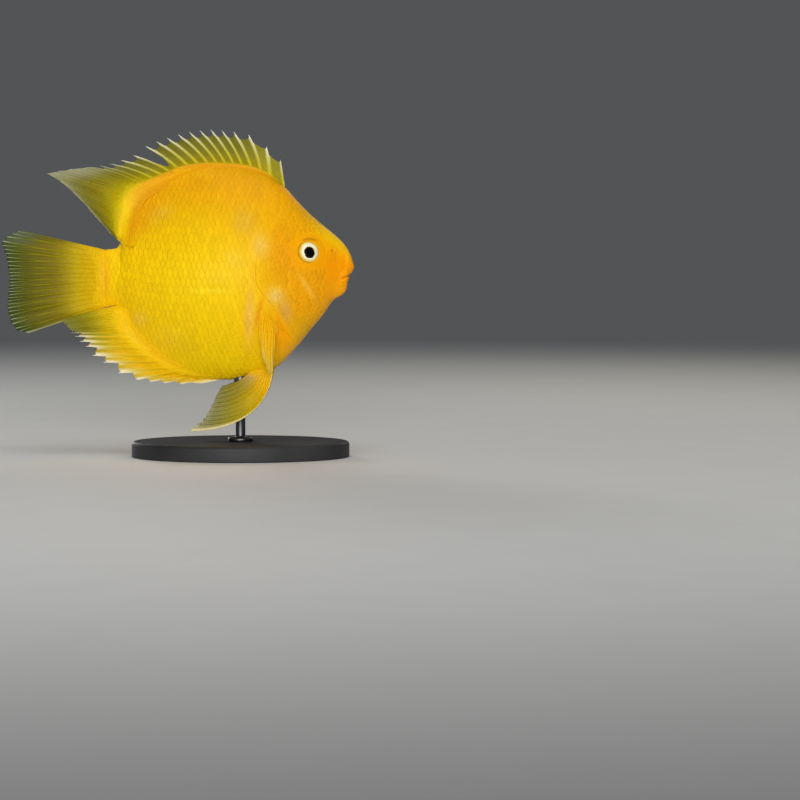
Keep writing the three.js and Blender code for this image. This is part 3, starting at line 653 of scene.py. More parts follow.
def lidSwell(away):
    # the low ridge that the lid runs out on, by the distance from the eye's middle
    return 0.25 * bell(away - 9, 2.6)


def overSlit(x, z):
    # distance above the line of the mouth, which rises towards the snout
    return 0.93 * (z - mouth["z"] - mouth["rise"] * (x - mouth["x"]))


def inSlit(x, z):
    return bell(overSlit(x, z), 0.32) * smooth(51.9, 53.2, x)


def coverRelief(x, z):
    # the gill cover swells to its free edge, with a soft rim and a furrow behind it
    ahead = x - gillX(z)
    shown = smooth(128, 112, z) * smooth(54, 66, z)
    swell = body["coverProud"] * smooth(15, 0, ahead) * smooth(-0.45, 0.35, ahead)
    rim = (0.14 * bell(ahead - 1.3, 1.0) - 0.3 * bell(ahead + 1.1, 1.0)) * (0.4 + 0.6 * smooth(104, 90, z))
    return shown * (swell + rim)


def mouthRelief(x, z):
    # two rounded lips either side of the slit, fading out at the corners of the mouth
    away = overSlit(x, z)
    lips = mouth["upperLip"] * bell(away - 1.4, 1.0) + mouth["lowerLip"] * bell(away + 1.25, 0.9)
    corner = 0.3 * bell(np.hypot(x - 51.6, z - 91.5), 0.9)
    return smooth(50.8, 54.4, x) * lips - mouth["slit"] * inSlit(x, z) - corner


def headRelief(x, z):
    # everything that stands off or sinks into the plain body shape, along its normal
    eyeAway, noseAway = awayFrom(eye, x, z), awayFrom(nostril, x, z)
    relief = coverRelief(x, z) + mouthRelief(x, z) + lidSwell(eyeAway)
    relief -= eye["socket"] * smooth(6.4, 4.4, eyeAway)
    relief += 0.2 * bell(noseAway - 1.35, 0.5) - nostril["depth"] * bell(noseAway, 0.65)
    for line, depth, width in body["folds"]:
        away, share = besideLine(x, z, body[line])
        relief += depth * bell(away, width) * smooth(0, 0.15, share) * smooth(1, 0.85, share)
    return relief


# Marks on the skin and the scales, painted light and shade among them: soft oval patches over one ground
# colour, each (x, z, half length, half height, turn in degrees, screen colour, strength)
marksAndPaintedLight = {
    "ground": (240, 176, 4),
    # brow: a painted shadow in an arc close above the eye
    "brow": (150, 84, 10),
    # slit: painted shade in the mouth's slit and the nostril's pit
    "slit": (170, 84, 4),  # of the mouth and the nostril
    "patches": [
        (-10, 138, 52, 14, -3, (243, 164, 0), 0.95),
        (-23, 88, 46, 38, 0, (252, 206, 2), 1.0),
        (-13, 62, 30, 18, 0, (249, 204, 4), 0.8),
        (-61, 92, 15, 18, 0, (254, 204, 0), 0.85),
        # painted shade: a deeper orange arc in the crease before the soft dorsal's fleshy root
        (-49, 124, 6, 17, -38, (238, 154, 8), 0.55),
        (-60, 124, 4.0, 20, -12, (252, 212, 8), 0.9),
        # painted light: brighter towards the lower rear edge, where the body turns away from the lamps
        (-46, 56, 16, 9, -38, (255, 200, 2), 0.85),
        (41, 100, 26, 30, 0, (243, 160, 3), 0.9),
        (30, 120, 18, 20, 0, (250, 174, 3), 0.75),
        (54, 97, 12, 12, 0, (250, 154, 2), 0.85),
        (48, 113, 15, 4.6, -42, (255, 206, 8), 0.85),
        (23, 103, 8, 16, 0, (238, 152, 4), 0.65),
        (35, 82, 12, 12, 0, (252, 164, 4), 0.6),
        (25, 54, 10, 14, 30, (255, 186, 6), 0.8),
        (-8, 48, 30, 9, 0, (255, 216, 6), 0.6),
        (50, 86, 6, 5, 0, (255, 170, 6), 0.5),
        (21, 64, 5.5, 12, 15, (250, 156, 2), 0.6),
        (19, 83.5, 4.6, 4.6, 0, (247, 200, 104), 0.9),
        (24, 76, 3.4, 6.6, 15, (226, 166, 84), 0.75),
        (11.3, 108.7, 5, 7, 0, (245, 200, 92), 0.75),
        (3, 120.5, 6, 8, 0, (228, 174, 66), 0.6),
        (-2, 103, 4.5, 4.5, 0, (243, 202, 70), 0.4),
        (5.8, 73, 2.8, 15, -3, (242, 182, 84), 0.8),
        (-51, 71, 4.2, 4.2, 0, (247, 204, 78), 0.6),
        (-39.5, 125, 7, 4, 30, (238, 184, 64), 0.5),
        (-36, 62, 9, 6, 0, (252, 210, 50), 0.35),
        (-15, 86, 12, 1.3, 0, (255, 224, 62), 0.45),
        (-69, 92, 2.4, 11, 0, (244, 164, 6), 0.6),
        # painted highlight along the ridge of the cheek fold
        (35.4, 87, 1.5, 8.0, 32, (255, 188, 70), 0.75),
        # painted shadow in the fold behind the pectoral fin's root
        (10.6, 75, 1.3, 8.5, -13, (236, 134, 2), 0.6),
        # painted light: these three brighten the paint along the outline of the belly and of the rear, where
        # the body turns away from the lamps
        (-30, 41, 34, 6, -6, (255, 206, 4), 0.8),
        (-58, 62, 6, 16, 32, (255, 206, 4), 0.7),
        (-60, 116, 4, 12, 0, (255, 208, 4), 0.6),
    ],
}


def hideAndPaintedLight(x, z):
    # each patch is laid over what is below it by its strength times a bell of the distance; then come a
    # painted shadow above the eye and painted shade in the mouth's slit and the nostril's pit
    colour = np.ones((*np.shape(x), 3)) * np.array(marksAndPaintedLight["ground"], float)
    for px, pz, halfLength, halfHeight, turn, rgb, strength in marksAndPaintedLight["patches"]:
        c, s = math.cos(math.radians(turn)), math.sin(math.radians(turn))
        along = ((x - px) * c + (z - pz) * s) / halfLength
        across = ((z - pz) * c - (x - px) * s) / halfHeight
        colour = towards(colour, rgb, strength * np.exp(-(along ** 2 + across ** 2) ** 1.2))
    # a painted shadow in a narrow arc close above the eye, under the lid's brow
    brow = 0.42 * bell(awayFrom(eye, x, z) - 6.4, 0.75) * smooth(4.9, 6.2, z - eye["z"])
    colour = towards(colour, marksAndPaintedLight["brow"], brow)
    # painted shade in the recesses: the mouth's slit and the nostril's pit
    dark = np.maximum(inSlit(x, z), bell(awayFrom(nostril, x, z), 0.7))
    return towards(colour, marksAndPaintedLight["slit"], 0.4 * dark)


def spread(density, low, high, count):
    # places from low to high, as close together as density says
    fine = np.linspace(low, high, 6000)
    total = np.concatenate([[0], np.cumsum(density(fine)[:-1])])
    return np.interp(np.linspace(0, total[-1], count), total, fine)


def ringDensity(x):
    # rings lie closer where the outline is steep, on the head and once more at the lips
    step = 0.1
    rise = np.hypot(backZ(x + step) - backZ(x - step), bellyZ(x + step) - bellyZ(x - step)) / (2 * step)
    return np.hypot(1, rise) / (0.95 - 0.57 * smooth(4, 12, x) - 0.12 * smooth(44, 50, x))


def turnDensity(angle):
    # and the points of a ring lie closer on the cheeks and flanks
    return 1 + 1.1 * bell(np.sin(angle) - 0.05, 0.42)


def makeSkin(material):
    # rings along the body, each point moved along the surface's normal by the relief
    xs = spread(ringDensity, body["stalkX"], body["snoutX"] - 0.02, body["rings"])
    angles = spread(turnDensity, 0, 2 * math.pi, body["around"] + 1)[:-1]
    angle, x = np.meshgrid(angles, xs, indexing="ij")
    plain = ringPoint(x, angle)
    grid = plain + ringNormal(x, angle) * headRelief(x, plain[..., 2])[..., None]
    points, faces = capped(grid, grid[:, 0].mean(0), grid[:, -1].mean(0) + (body["tip"], 0, 0))
    skin = newPiece("skin", points, faces, material)
    paint(skin, "hide", hideAndPaintedLight(points[:, 0], points[:, 2]))
    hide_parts("head", "torso", "tail_stalk")
    print("skin", len(faces))


# Scales

scales = {
    "along": 3.0,  # between scales of one row
    "rowApart": 4.3,
    "rows": 26,  # to either side of the widest line
    "firstX": 14,
    "halfLength": 3.1,
    "halfWidth": 4.5,
    "proud": 0.21,  # of the rear edge
    "slope": 0.06,  # that a scale sinks forwards for each millimetre
    "dome": 0.06,
    "thick": 0.08,
    "rim": 0.10,
    "rimColour": (255, 222, 84),
    "sizeStray": 0.06,  # random spread of the size, the turn, the height and the light
    "turnStray": 0.05,
    "liftStray": 0.015,
    "lightStray": 0.014,
    "stretch": 1.35,  # past which a scale is left out, because it would span a gap
    "bakePatch": 0.003,
    "cheekAlong": 2.3,
    "cheekRow": 2.7,
    "cheekFirstX": 6,
}
girthTable = {"stations": 260, "turns": 400, "shares": 120}


def arcTables():
    # for stations along the body: the girth from the widest line to the back and to the
    # belly, and the ring's angle at each share of it
    xs = np.linspace(body["stalkX"], body["snoutX"] - 0.3, girthTable["stations"])
    turns = np.linspace(0, math.pi / 2, girthTable["turns"])
    shares = np.linspace(0, 1, girthTable["shares"] + 1)
    tables = {}
    for way in (1, -1):
        ring = ringPoint(xs[:, None], way * turns[None, :])
        steps = np.linalg.norm(np.diff(ring, axis=1), axis=-1)
        walked = np.concatenate([np.zeros((len(xs), 1)), np.cumsum(steps, 1)], 1)
        total = walked[:, -1]
        angle = np.array([np.interp(shares * t, w, turns) for w, t in zip(walked, total)])
        tables[way] = (total, angle)
    return xs, tables


stations, girth = arcTables()


def girthAt(x, way):
    return np.where(way > 0, np.interp(x, stations, girth[1][0]), np.interp(x, stations, girth[-1][0]))


def angleAt(x, arc):
    # the ring's angle that lies a given distance up (or down) round the body from its widest
    # line; past the back or belly it goes on down the other side
    share = np.abs(arc) / girthAt(x, arc)
    over = share > 1
    share = np.clip(np.where(over, 2 - share, share), 0, 1)
    place = (x - stations[0]) / (stations[1] - stations[0])
    i = np.clip(place.astype(int), 0, len(stations) - 2)
    p = np.clip(place - i, 0, 1)
    q = share * girthTable["shares"]
    k = np.clip(q.astype(int), 0, girthTable["shares"] - 1)
    q = q - k
    found = np.zeros(np.shape(x))
    for way in (1, -1):
        angle = girth[way][1]
        low = angle[i, k] * (1 - q) + angle[i, k + 1] * q
        high = angle[i + 1, k] * (1 - q) + angle[i + 1, k + 1] * q
        found = np.where(np.sign(arc + 1e-9) == way, low * (1 - p) + high * p, found)
    found = np.where(over, math.pi - found, found)
    return np.where(arc < 0, -found, found)


def onSkin(x, arc, side):
    # the plain body's points and normals for places round one side of it
    angle = angleAt(x, arc)
    if side < 0:
        angle = math.pi - angle
    return ringPoint(x, angle), ringNormal(x, angle)


def onFace(x, arc, side):
    # the same with the head's relief
    points, normals = onSkin(x, arc, side)
    return points + normals * headRelief(points[..., 0], points[..., 2])[..., None], normals


def scaleShape():
    # one scale, rear towards +a: an oval with a wide round rear edge. Rings of points from the
    # edge to its middle on top, and the edge once more underneath
    turns = np.radians([0, 14, 28, 43, 59, 76, 95, 118, 150, 180])
    turns = np.concatenate([turns, -turns[1:-1][::-1]])
    count = len(turns)
    edge = np.column_stack([np.cos(turns), np.sin(turns)])
    edge[:, 1] *= 1 - 0.12 * (edge[:, 0] < 0) * -edge[:, 0]
    top = [1.0, 0.93, 0.7, 0.38]
    centre = np.zeros((1, 2))
    flat = np.vstack([edge * share for share in top] + [centre, edge * 0.985, centre])
    drop = np.concatenate([np.full(count, -0.45), np.zeros(count * 3 + 1), np.full(count, -1.0), [-1.2]])
    k = np.arange(count)
    n = np.roll(k, -1)
    middle, under, below = 4 * count, 4 * count + 1, 5 * count + 1
    faces = []
    for a, b in ((0, count), (count, 2 * count), (2 * count, 3 * count)):
        faces += np.column_stack([k + a, n + a, n + b]).tolist()
        faces += np.column_stack([k + a, n + b, k + b]).tolist()
    faces += fan(middle, k + 3 * count, n + 3 * count)
    faces += np.column_stack([k, under + k, under + n]).tolist()
    faces += np.column_stack([k, under + n, n]).tolist()
    faces += fan(below, under + n, under + k)
    return flat, drop, np.array(faces)


def makeScales(name, x, arc, size, proud, surface, colours, chart, material):
    # every scale's points are carried onto a surface by their own place on it, rear edge towards
    # -x, and lifted by a height that falls from the rear edge forwards
    flat, drop, faces = scaleShape()
    count = len(x)
    jitter = 1 + scales["sizeStray"] * scatter(count, 1)
    twist = scales["turnStray"] * scatter(count, 1)
    a, b = flat[None, :, 0], flat[None, :, 1]
    halfLength = scales["halfLength"] * size[:, None] * jitter
    halfHeight = scales["halfWidth"] * size[:, None] * jitter
    px = x[:, None] - a * halfLength + twist * b * halfHeight
    parc = arc[:, None] + b * halfHeight + twist * a * halfLength
    points, normals = surface(px, parc)
    colour = colours(px, parc, points)
    lift = proud[:, None] - scales["slope"] * (1 - a) * halfLength
    lift = lift + scales["dome"] * size[:, None] * (1 - b ** 2) + drop[None, :] * scales["thick"]
    lift = lift + scales["liftStray"] * scatter(count, 1)
    across = np.linalg.norm(points.max(1) - points.min(1), axis=-1)
    even = across < scales["stretch"] * 2 * np.hypot(halfLength, halfHeight)[:, 0]
    points = points + normals * lift[..., None]
    points, normals, colour, chart = points[even], normals[even], colour[even], chart[even]
    count = len(points)
    p, q, r = (points[:, faces[0, k]] for k in range(3))
    outward = (np.cross(q - p, r - p) * normals[:, faces[0, 0]]).sum() > 0
    order = faces if outward else faces[:, ::-1]
    allFaces = (np.arange(count)[:, None, None] * len(flat) + order[None]).reshape(-1, 3)
    piece = newPiece(name, points.reshape(-1, 3), allFaces.tolist(), material)
    rim = smooth(0.55, 1.0, np.hypot(a, b)) * (a > -0.2)
    colour = towards(colour, scales["rimColour"], scales["rim"] * rim)
    # the front of each scale, under the rear edge of the scale ahead, is a little darker and more orange:
    # partly painted shade, partly the scale's own deeper tone
    root = smooth(0.3, -0.5, a)
    colour = colour * (1 - 0.05 * root[..., None] * np.array((0.6, 1.0, 1.0)))
    colour = colour * (1 + scales["lightStray"] * scatter(count, 1, 1))
    paint(piece, "hide", colour.reshape(-1, 3))
    flatMap(piece, "disc", np.tile(flat, (count, 1)))
    flatMap(piece, "OFBake", (chart[:, None] + flat[None] * scales["bakePatch"] / 2).reshape(-1, 2))
    print(name, count, len(allFaces))


def bodyScales(name, side, x, arc, size, proud, surface, material):
    # a coat of the body; in its OFBake map every scale has a small patch where it lies
    chart = np.stack([(x + 72) / 140, 0.5 + arc / 160], -1)
    makeScales(name, x, arc, size, proud, lambda px, parc: surface(onBody(px, 0.5), parc, side),
               lambda px, parc, points: hideAndPaintedLight(points[..., 0], points[..., 2]), chart, material)


def flankRoots():
    # staggered rows, closer together towards the back and belly and towards the tail
    reach = scales["rows"]
    xs, arcs, sizes = [], [], []
    squeeze = through([(0, 0), (8, 8), (16, 14.6), (reach, 21)])
    for row in range(-reach, reach + 1):
        steps = np.arange(-2, 40) + 0.5 * (row % 2)
        x = scales["firstX"] - scales["along"] * (steps - 0.0035 * np.maximum(steps, 0) ** 2)
        x = x[x > body["stalkX"] + 1.0]
        tight = 0.78 + 0.22 * smooth(18, 60, girthAt(x, np.ones_like(x)))
        arc = np.sign(row) * squeeze(abs(row)) * scales["rowApart"] * tight
        share = np.abs(arc) / girthAt(x, np.full_like(x, row + 0.5))
        z = onSkin(x, arc, 1)[0][..., 2]
        kept = (share < 0.985) & (x < gillX(z) + 1.5)
        xs.append(x[kept])
        arcs.append(arc[kept])
        sizes.append((tight * (1 - 0.28 * smooth(10, reach - 6, abs(row))))[kept])
    return np.concatenate(xs), np.concatenate(arcs), np.concatenate(sizes)


def faceRoots():
    # small scales on the gill cover, cheek and nape, fading out before the eye and snout
    reach = scales["rows"]
    rows, steps = np.meshgrid(np.arange(-reach, reach + 1), np.arange(reach), indexing="ij")
    row, step = rows.ravel(), steps.ravel()
    x = scales["cheekFirstX"] + scales["cheekAlong"] * (step + 0.5 * (row % 2))
    arc = row * scales["cheekRow"]
    inside = np.abs(arc) / girthAt(x, arc) < 0.985
    x, arc = x[inside], arc[inside]
    z = onSkin(x, arc, 1)[0][..., 2]
    shown = smooth(9.5, 13, awayFrom(eye, x, z)) * smooth(1.0, 2.2, x - gillX(z))
    shown = shown * smooth(46, 38, x + 0.35 * np.maximum(z - 112, 0)) * smooth(58, 66, z)
    kept = shown > 0.12
    return x[kept], arc[kept], shown[kept]


# Fins

def same(value):
    # the same value for every ray
    return lambda ray: np.full(np.shape(ray), float(value))


finDefaults = {  # what holds for a fin that doesn't say otherwise
    "spines": 0,
    "lines": 2,  # that a soft ray draws
    "rows": 60,
    "blend": 0,  # width of the curve in which the fin's foot runs into the body
    "rearThin": 0,  # share of the foot's thickness lost at the last rays
    "webHalf": 0.13,  # half the web's thickness
    "ripple": 0.25,
    "cutBehind": same(0),  # off the web behind a spine and before the next one, as shares
    "cutAhead": same(0),
    "dip": same(0),  # and more halfway between
    "fall": 0.8,  # power by which the one cut passes into the other
    "spineTip": (0.06, 0.075),  # half its width at the web's edge, and how far it tapers
    "branchApart": 0.25,  # of a soft ray's two branches from its middle, and of their twigs
    "twigApart": 0.10,
    "lineWidth": 1.0,
    "lineFlare": 0.6,  # the line's width at the tip, as a share of that at the root
    "rayShow": 0.85,
    "showBy": 0.75,  # share of the way out by which a soft ray's line is clear
    "film": 0.8,  # opacity of one face of the web
    "edgeClear": 0.25,
}


def alongOutline(edge, fromX, toX):
    # a point of the body's outline by its share of the way walked from one x to another
    x = np.linspace(fromX, toX, 600)
    walked = np.concatenate([[0], np.cumsum(np.hypot(np.diff(x), np.diff(edge(x))))])
    walked /= walked[-1]

    def at(share):
        px = np.interp(share, walked, x)
        return np.stack([px, np.zeros_like(px), edge(px)], -1)

    return at


def rayTips(tips, sway=None):
    # the end of a ray, from the named ones, moved aside by the sway
    rays, xs, zs = zip(*tips)
    x, z = through(list(zip(rays, xs))), through(list(zip(rays, zs)))
    return lambda ray: np.stack([x(ray), (sway(ray) if sway else np.zeros_like(ray)), z(ray)], -1)


bodyCentre = np.array([-18.0, 0, 94.0])


def sunkIn(foot, tip, depth):
    # a root point carried on into the body along its ray, leaning to the body's middle
    return foot + depth * unit(unit(foot - tip) + 0.45 * unit(bodyCentre - foot))


def drawnLine(fin, ray):
    # spines draw one line each, soft rays several
    return np.where(ray > fin["spines"], fin["spines"] + (ray - fin["spines"]) * fin["lines"], ray)


def spineShare(fin, ray):
    spiny = (np.floor(ray + 1e-6) <= fin["spines"]) & (ray <= fin["spines"] + 0.5)
    return np.where(spiny, 1.0, 0.0)


def spineRidge(fin):
    # how far the rays stand off the web: the spines most
    return lambda ray: np.where(ray <= fin["spines"] + 0.5, 0.42, 0.16)


def webEnd(fin, ray):
    # how far out the web reaches at each ray's place: notched behind a spine, whose own tip
    # stands free, and finely frayed between soft rays
    part = ray % 1
    near = np.minimum(part, 1 - part)
    behind, ahead = fin["cutBehind"](ray), fin["cutAhead"](ray)
    web = 1 - behind - (ahead - behind) * part ** fin["fall"]
    web = web - fin["dip"](ray) * np.sin(math.pi * part)
    half, point = fin["spineTip"]
    free = 1 - (near / half) ** 1.6 * point
    spineEnd = np.where(near < half, np.maximum(free, web), web)
    drawn = drawnLine(fin, ray)
    twig = np.abs(np.abs(drawn - np.round(drawn)) - fin["branchApart"])
    softEnd = 1 - fin["cutSoft"] * np.sin(math.pi * part) ** 0.7 + fin["fringe"] * (bell(twig, 0.13) - 1)
    softEnd = softEnd - fin["fringe"] * 0.7 * (1 + np.sin(ray * 7.3) * np.sin(ray * 17.1 + 1))
    return np.where(spineShare(fin, ray) > 0.5, spineEnd, softEnd)


def branches(fin, r, seen):
    # how far a soft ray's two branches have parted, and the twigs of each, further out
    soft = 1 - spineShare(fin, r)
    branch = soft * fin["branchApart"] * np.clip((seen - 0.3) / 0.65, 0, 1)
    return branch, soft * fin["twigApart"] * np.clip((seen - 0.6) / 0.4, 0, 1)


def finShape(fin, r, v):
    # a point of the web lies its share v of the way from a ray's root to its tip, bent aside by
    # bow times 4v(1 - v). Half the thickness swells over the rays and towards the fleshy root,
    # and where the fin leaves the body it is the smooth maximum of its own and the body's
    rays, step = fin["rays"], 0.02

    def at(r, v):
        v = v[..., None]
        return fin["base"](r) * (1 - v) + fin["tip"](r) * v + fin["bow"](r, v) * 4 * v * (1 - v)

    behind, ahead = np.maximum(r - step, 1), np.minimum(r + step, rays)
    across = at(ahead, v) - at(behind, v)
    along = at(r, np.minimum(v + step, 1)) - at(r, np.maximum(v - step, 0))
    normal = unit(np.cross(across, along))
    soft = 1 - spineShare(fin, r)
    length = np.linalg.norm(fin["tip"](r) - fin["base"](r), axis=-1)
    out = v * length - fin["sunk"]
    seen = np.clip(out / (length - fin["sunk"]), 0, 1)
    drawn = drawnLine(fin, r)
    off = np.abs(drawn - np.round(drawn))
    for part in branches(fin, r, seen):
        off = np.abs(off - part)
    apart = np.linalg.norm(across, axis=-1) / (ahead - behind) / np.where(soft > 0.5, fin["lines"], 1)
    width = np.where(soft > 0.5, 0.2, np.maximum(0.55 * (1 - 0.5 * seen), 0.24))
    ridge = fin["ridge"](r) * (1 - 0.6 * seen) * bell(off * apart, width)
    thinned = fin["rearThin"] * smooth(rays - 1.4, rays, r)
    fleshy = fin["root"](r) * (1 - smooth(0, fin["fleshy"](r), out)) * (1 - thinned)
    half = fin["webHalf"] * (1 - 0.35 * seen) + fleshy + ridge * smooth(0, 3, out)
    ripple = fin["ripple"] * np.sin(math.pi * (r % 1)) * smooth(0.1, 0.5, seen)
    ripple = ripple * np.where(np.floor(r) % 2 > 0, 1, -1)
    ripple = ripple + 0.2 * np.sin(seen * 9 + r) * smooth(0.1, 0.4, seen)
    middle = at(r, v) + normal * ripple[..., None]
    if fin["blend"]:
        inBody = bodyHalfY(middle[..., 0], middle[..., 2]) - 0.1
        joined = smoothMax(inBody, half, fin["blend"] * (1 - 0.8 * thinned))
        half = half + smooth(5, 0.5, out) * (joined - half)
    return middle, normal, half, out, seen


def finColours(fin, r, middle, out, seen):
    # the web's and the rays' colours; near the root the web takes the body's painted marks and painted light
    web, line = fin["colours"](r, seen)
    share = smooth(fin["bodyColour"](r), 0, out)
    return towards(web, hideAndPaintedLight(middle[..., 0], middle[..., 2]), share), line


raySteps = {  # columns of the grid, as shares of the way from a ray to the next
    "spine": np.array([0, .025, .05, .085, .14, .21, .30, .40, .5, .60, .70, .79, .86, .915, .95, .975]),
    "soft": np.arange(20) / 20,
}


def makeFin(name, fin, material):
    # two faces on a grid of rays and shares, and the rim that closes them
    columns = [ray + raySteps["spine" if ray <= fin["spines"] else "soft"] for ray in range(1, fin["rays"])]
    ray = np.concatenate(columns + [[float(fin["rays"])]])
    r, s = np.meshgrid(ray, np.linspace(0, 1, fin["rows"]) ** 0.9, indexing="ij")
    middle, normal, half, out, seen = finShape(fin, r, s * webEnd(fin, ray)[:, None])
    points = np.vstack([(middle + way * normal * half[..., None]).reshape(-1, 3) for way in (1, -1)])
    quads, front = shellFaces(*r.shape), gridFaces(*r.shape)
    a, b, c = (points[front[:, k]] for k in range(3))
    if (np.cross(b - a, c - a) * normal.reshape(-1, 3)[front[:, 0]]).sum() < 0:
        quads = quads[:, ::-1]
    piece = newPiece(name, points, quads.tolist(), material)
    soft = 1 - spineShare(fin, r)
    branch, twig = branches(fin, r, seen)
    width = np.where(soft > 0.5, finFinish["rayWidth"], finFinish["spineWidth"]) * fin["lineWidth"]
    film = 1 - (1 - fin["film"]) * smooth(0.05, 0.45, seen)
    shown = 0.12 + 0.88 * smooth(0, np.where(soft > 0.5, fin["showBy"], 0.14), seen)
    values = {
        "soft": soft, "reach": out, "branch": branch, "twig": twig,
        "lineWidth": width * (1 + (fin["lineFlare"] - 1) * seen),
        "film": film - fin["edgeClear"] * smooth(0.75, 1.0, seen),
        "rayShow": fin["rayShow"] * shown * smooth(0, 2, out),
    }
    for layer, value in values.items():
        number(piece, layer, np.tile(value.ravel(), 2))
    flatMap(piece, "rays", np.tile(np.column_stack([drawnLine(fin, r).ravel(), seen.ravel()]), (2, 1)))
    for layer, colour in zip(("web", "ray"), finColours(fin, r, middle, out, seen)):
        paint(piece, layer, np.tile(colour.reshape(-1, 3), (2, 1)))
    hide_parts(fin["node"])
    print(name, len(quads))


finScale = {
    "apart": 2.5,  # in a row, less with every row outwards
    "closer": 0.06,
    "size": 0.62,  # of the flank's, less outwards and at the edge of the coat
    "smaller": 0.03,
    "edgeSmaller": 0.16,
    "stray": 0.15,
    "ragged": 2.6,  # how unevenly the coat ends
    "ends": 0.4,
}


def finScales(name, fin, fromRay, toRay, material):
    # rows of small scales climb from the body onto the fleshy root of a fin and grow smaller
    # outwards; a place is the distance out from the body's outline and the distance walked
    # along it
    d = finScale
    fine = np.linspace(fromRay, toRay, 400)
    foot = fin["base"](fine) + fin["sunk"] * unit(fin["tip"](fine) - fin["base"](fine))
    walked = np.concatenate([[0], np.cumsum(np.linalg.norm(np.diff(foot, axis=0), axis=-1))])
    w, u, size = [], [], []
    for row, step in enumerate(fin["scaleRows"]):
        apart = d["apart"] - d["closer"] * (step + 3)
        places = np.arange(d["ends"] + (row % 2) * apart / 2, walked[-1] - d["ends"], apart)
        places = places + d["stray"] * scatter(len(places))
        reach = fin["scaled"](np.interp(places, walked, fine)) * smooth(-1, 5, walked[-1] - places)
        kept = step + d["ragged"] * rng.random(len(places)) < reach + 0.8
        w.append(step + d["stray"] * scatter(kept.sum()))
        u.append(places[kept])
        size.append(d["size"] - d["smaller"] * (step + 3)
                    - d["edgeSmaller"] * smooth(3.0, -0.5, reach[kept] - step))
    w, u, size = np.concatenate(w), np.concatenate(u), np.concatenate(size)

    def place(px, parc):
        r = np.interp(parc, walked, fine)
        length = np.linalg.norm(fin["tip"](r) - fin["base"](r), axis=-1)
        return r, np.clip((fin["sunk"] - px) / length, 0.005, 1)

    def pointAt(px, parc, way):
        middle, normal, half = finShape(fin, *place(px, parc))[:3]
        return middle + way * normal * half[..., None]

    def colours(px, parc, points):
        r, v = place(px, parc)
        middle, _, _, out, seen = finShape(fin, r, v)
        return finColours(fin, r, middle, out, seen)[0]

    for word, side in sides.items():
        test = finShape(fin, *place(-w, u))[1]
        way = side if test[:, 1].sum() > 0 else -side

        def surface(px, parc):
            step = 0.15
            ahead = pointAt(px - step, parc, way) - pointAt(px + step, parc, way)
            aside = pointAt(px, parc + step, way) - pointAt(px, parc - step, way)
            normal = unit(np.cross(ahead, aside))
            normal = normal * np.sign(normal[..., 1:2] * side)
            return pointAt(px, parc, way), normal

        chart = np.stack([fin["chart"][0] + u / 240, fin["chart"][1] + side * (0.02 + (w + 4) / 240)], -1)
        makeScales(name + word, -w, u, size, 0.1 + 0.16 * size, surface, colours, chart, material)


def blendStops(v, stops):
    # a colour by share, straight between the stops
    places = [s[0] for s in stops]
    return np.stack([np.interp(v, places, [s[1][k] for s in stops]) for k in range(3)], -1)


dorsal = {
    "node": "dorsal_fin", "rays": 28, "spines": 16, "notchAfter": 12,
    "frontX": 25.2, "rearX": -61.35, "sunk": 8.0, "blend": 3.2, "rearThin": 0.9,
    "cutSoft": 0.02, "fringe": 0.012, "sway": 1.6, "lineFlare": 0.75,
    "scaleRows": [-3, -1.2, 0.6, 2.3, 3.9, 5.4], "chart": (0.1, 0.9),
    "roots": [  # share of the way along the back
        (1, 0), (2, 0.098), (3, 0.142), (4, 0.191), (6, 0.27), (8, 0.346), (10, 0.432), (12, 0.53),
        (13, 0.567), (14, 0.604), (16, 0.682), (18, 0.744), (20, 0.797), (22, 0.854), (24, 0.925),
        (26, 0.966), (28, 1)],
    "tips": [
        (1, 21, 152.4), (2, 13.8, 159), (3, 4.6, 165.1), (4, -3.1, 166.7), (6, -14.9, 167.7),
        (8, -25.9, 166.5), (10, -37.2, 163.4), (12, -48.2, 159.2), (13, -54.4, 154.5), (14, -60.9, 152.1),
        (15, -66.4, 150.3), (16, -71.4, 149.2), (17, -79, 148.6), (18, -87, 147.8), (19, -94, 146.7),
        (20, -99.5, 145.6), (21, -96.2, 143.6), (22, -92.4, 141.2), (24, -85.6, 135.4), (26, -77.6, 127.2),
        (28, -66.8, 115.2)],
    "spinyWeb": [(0, (216, 180, 2)), (0.1, (158, 142, 4)), (0.4, (134, 128, 8)), (0.8, (114, 112, 18)),
                 (1, (100, 98, 36))],
    "softWeb": [(0, (228, 192, 2)), (0.16, (196, 174, 2)), (0.4, (150, 136, 6)), (0.75, (118, 114, 30)),
                (1, (124, 122, 78))],
    "rayLine": [(0, (226, 206, 20)), (0.2, (226, 212, 60)), (0.5, (232, 222, 120)), (0.8, (248, 244, 206)),
                (1, (254, 252, 240))],
    "softLine": [(0, (244, 204, 6)), (0.3, (196, 178, 16)), (0.6, (168, 156, 44)), (0.82, (196, 190, 120)),
                 (1, (236, 232, 204))],
    "greyTip": (158, 158, 140), "paleEdge": (232, 228, 190), "frontWeb": (196, 184, 40),
}


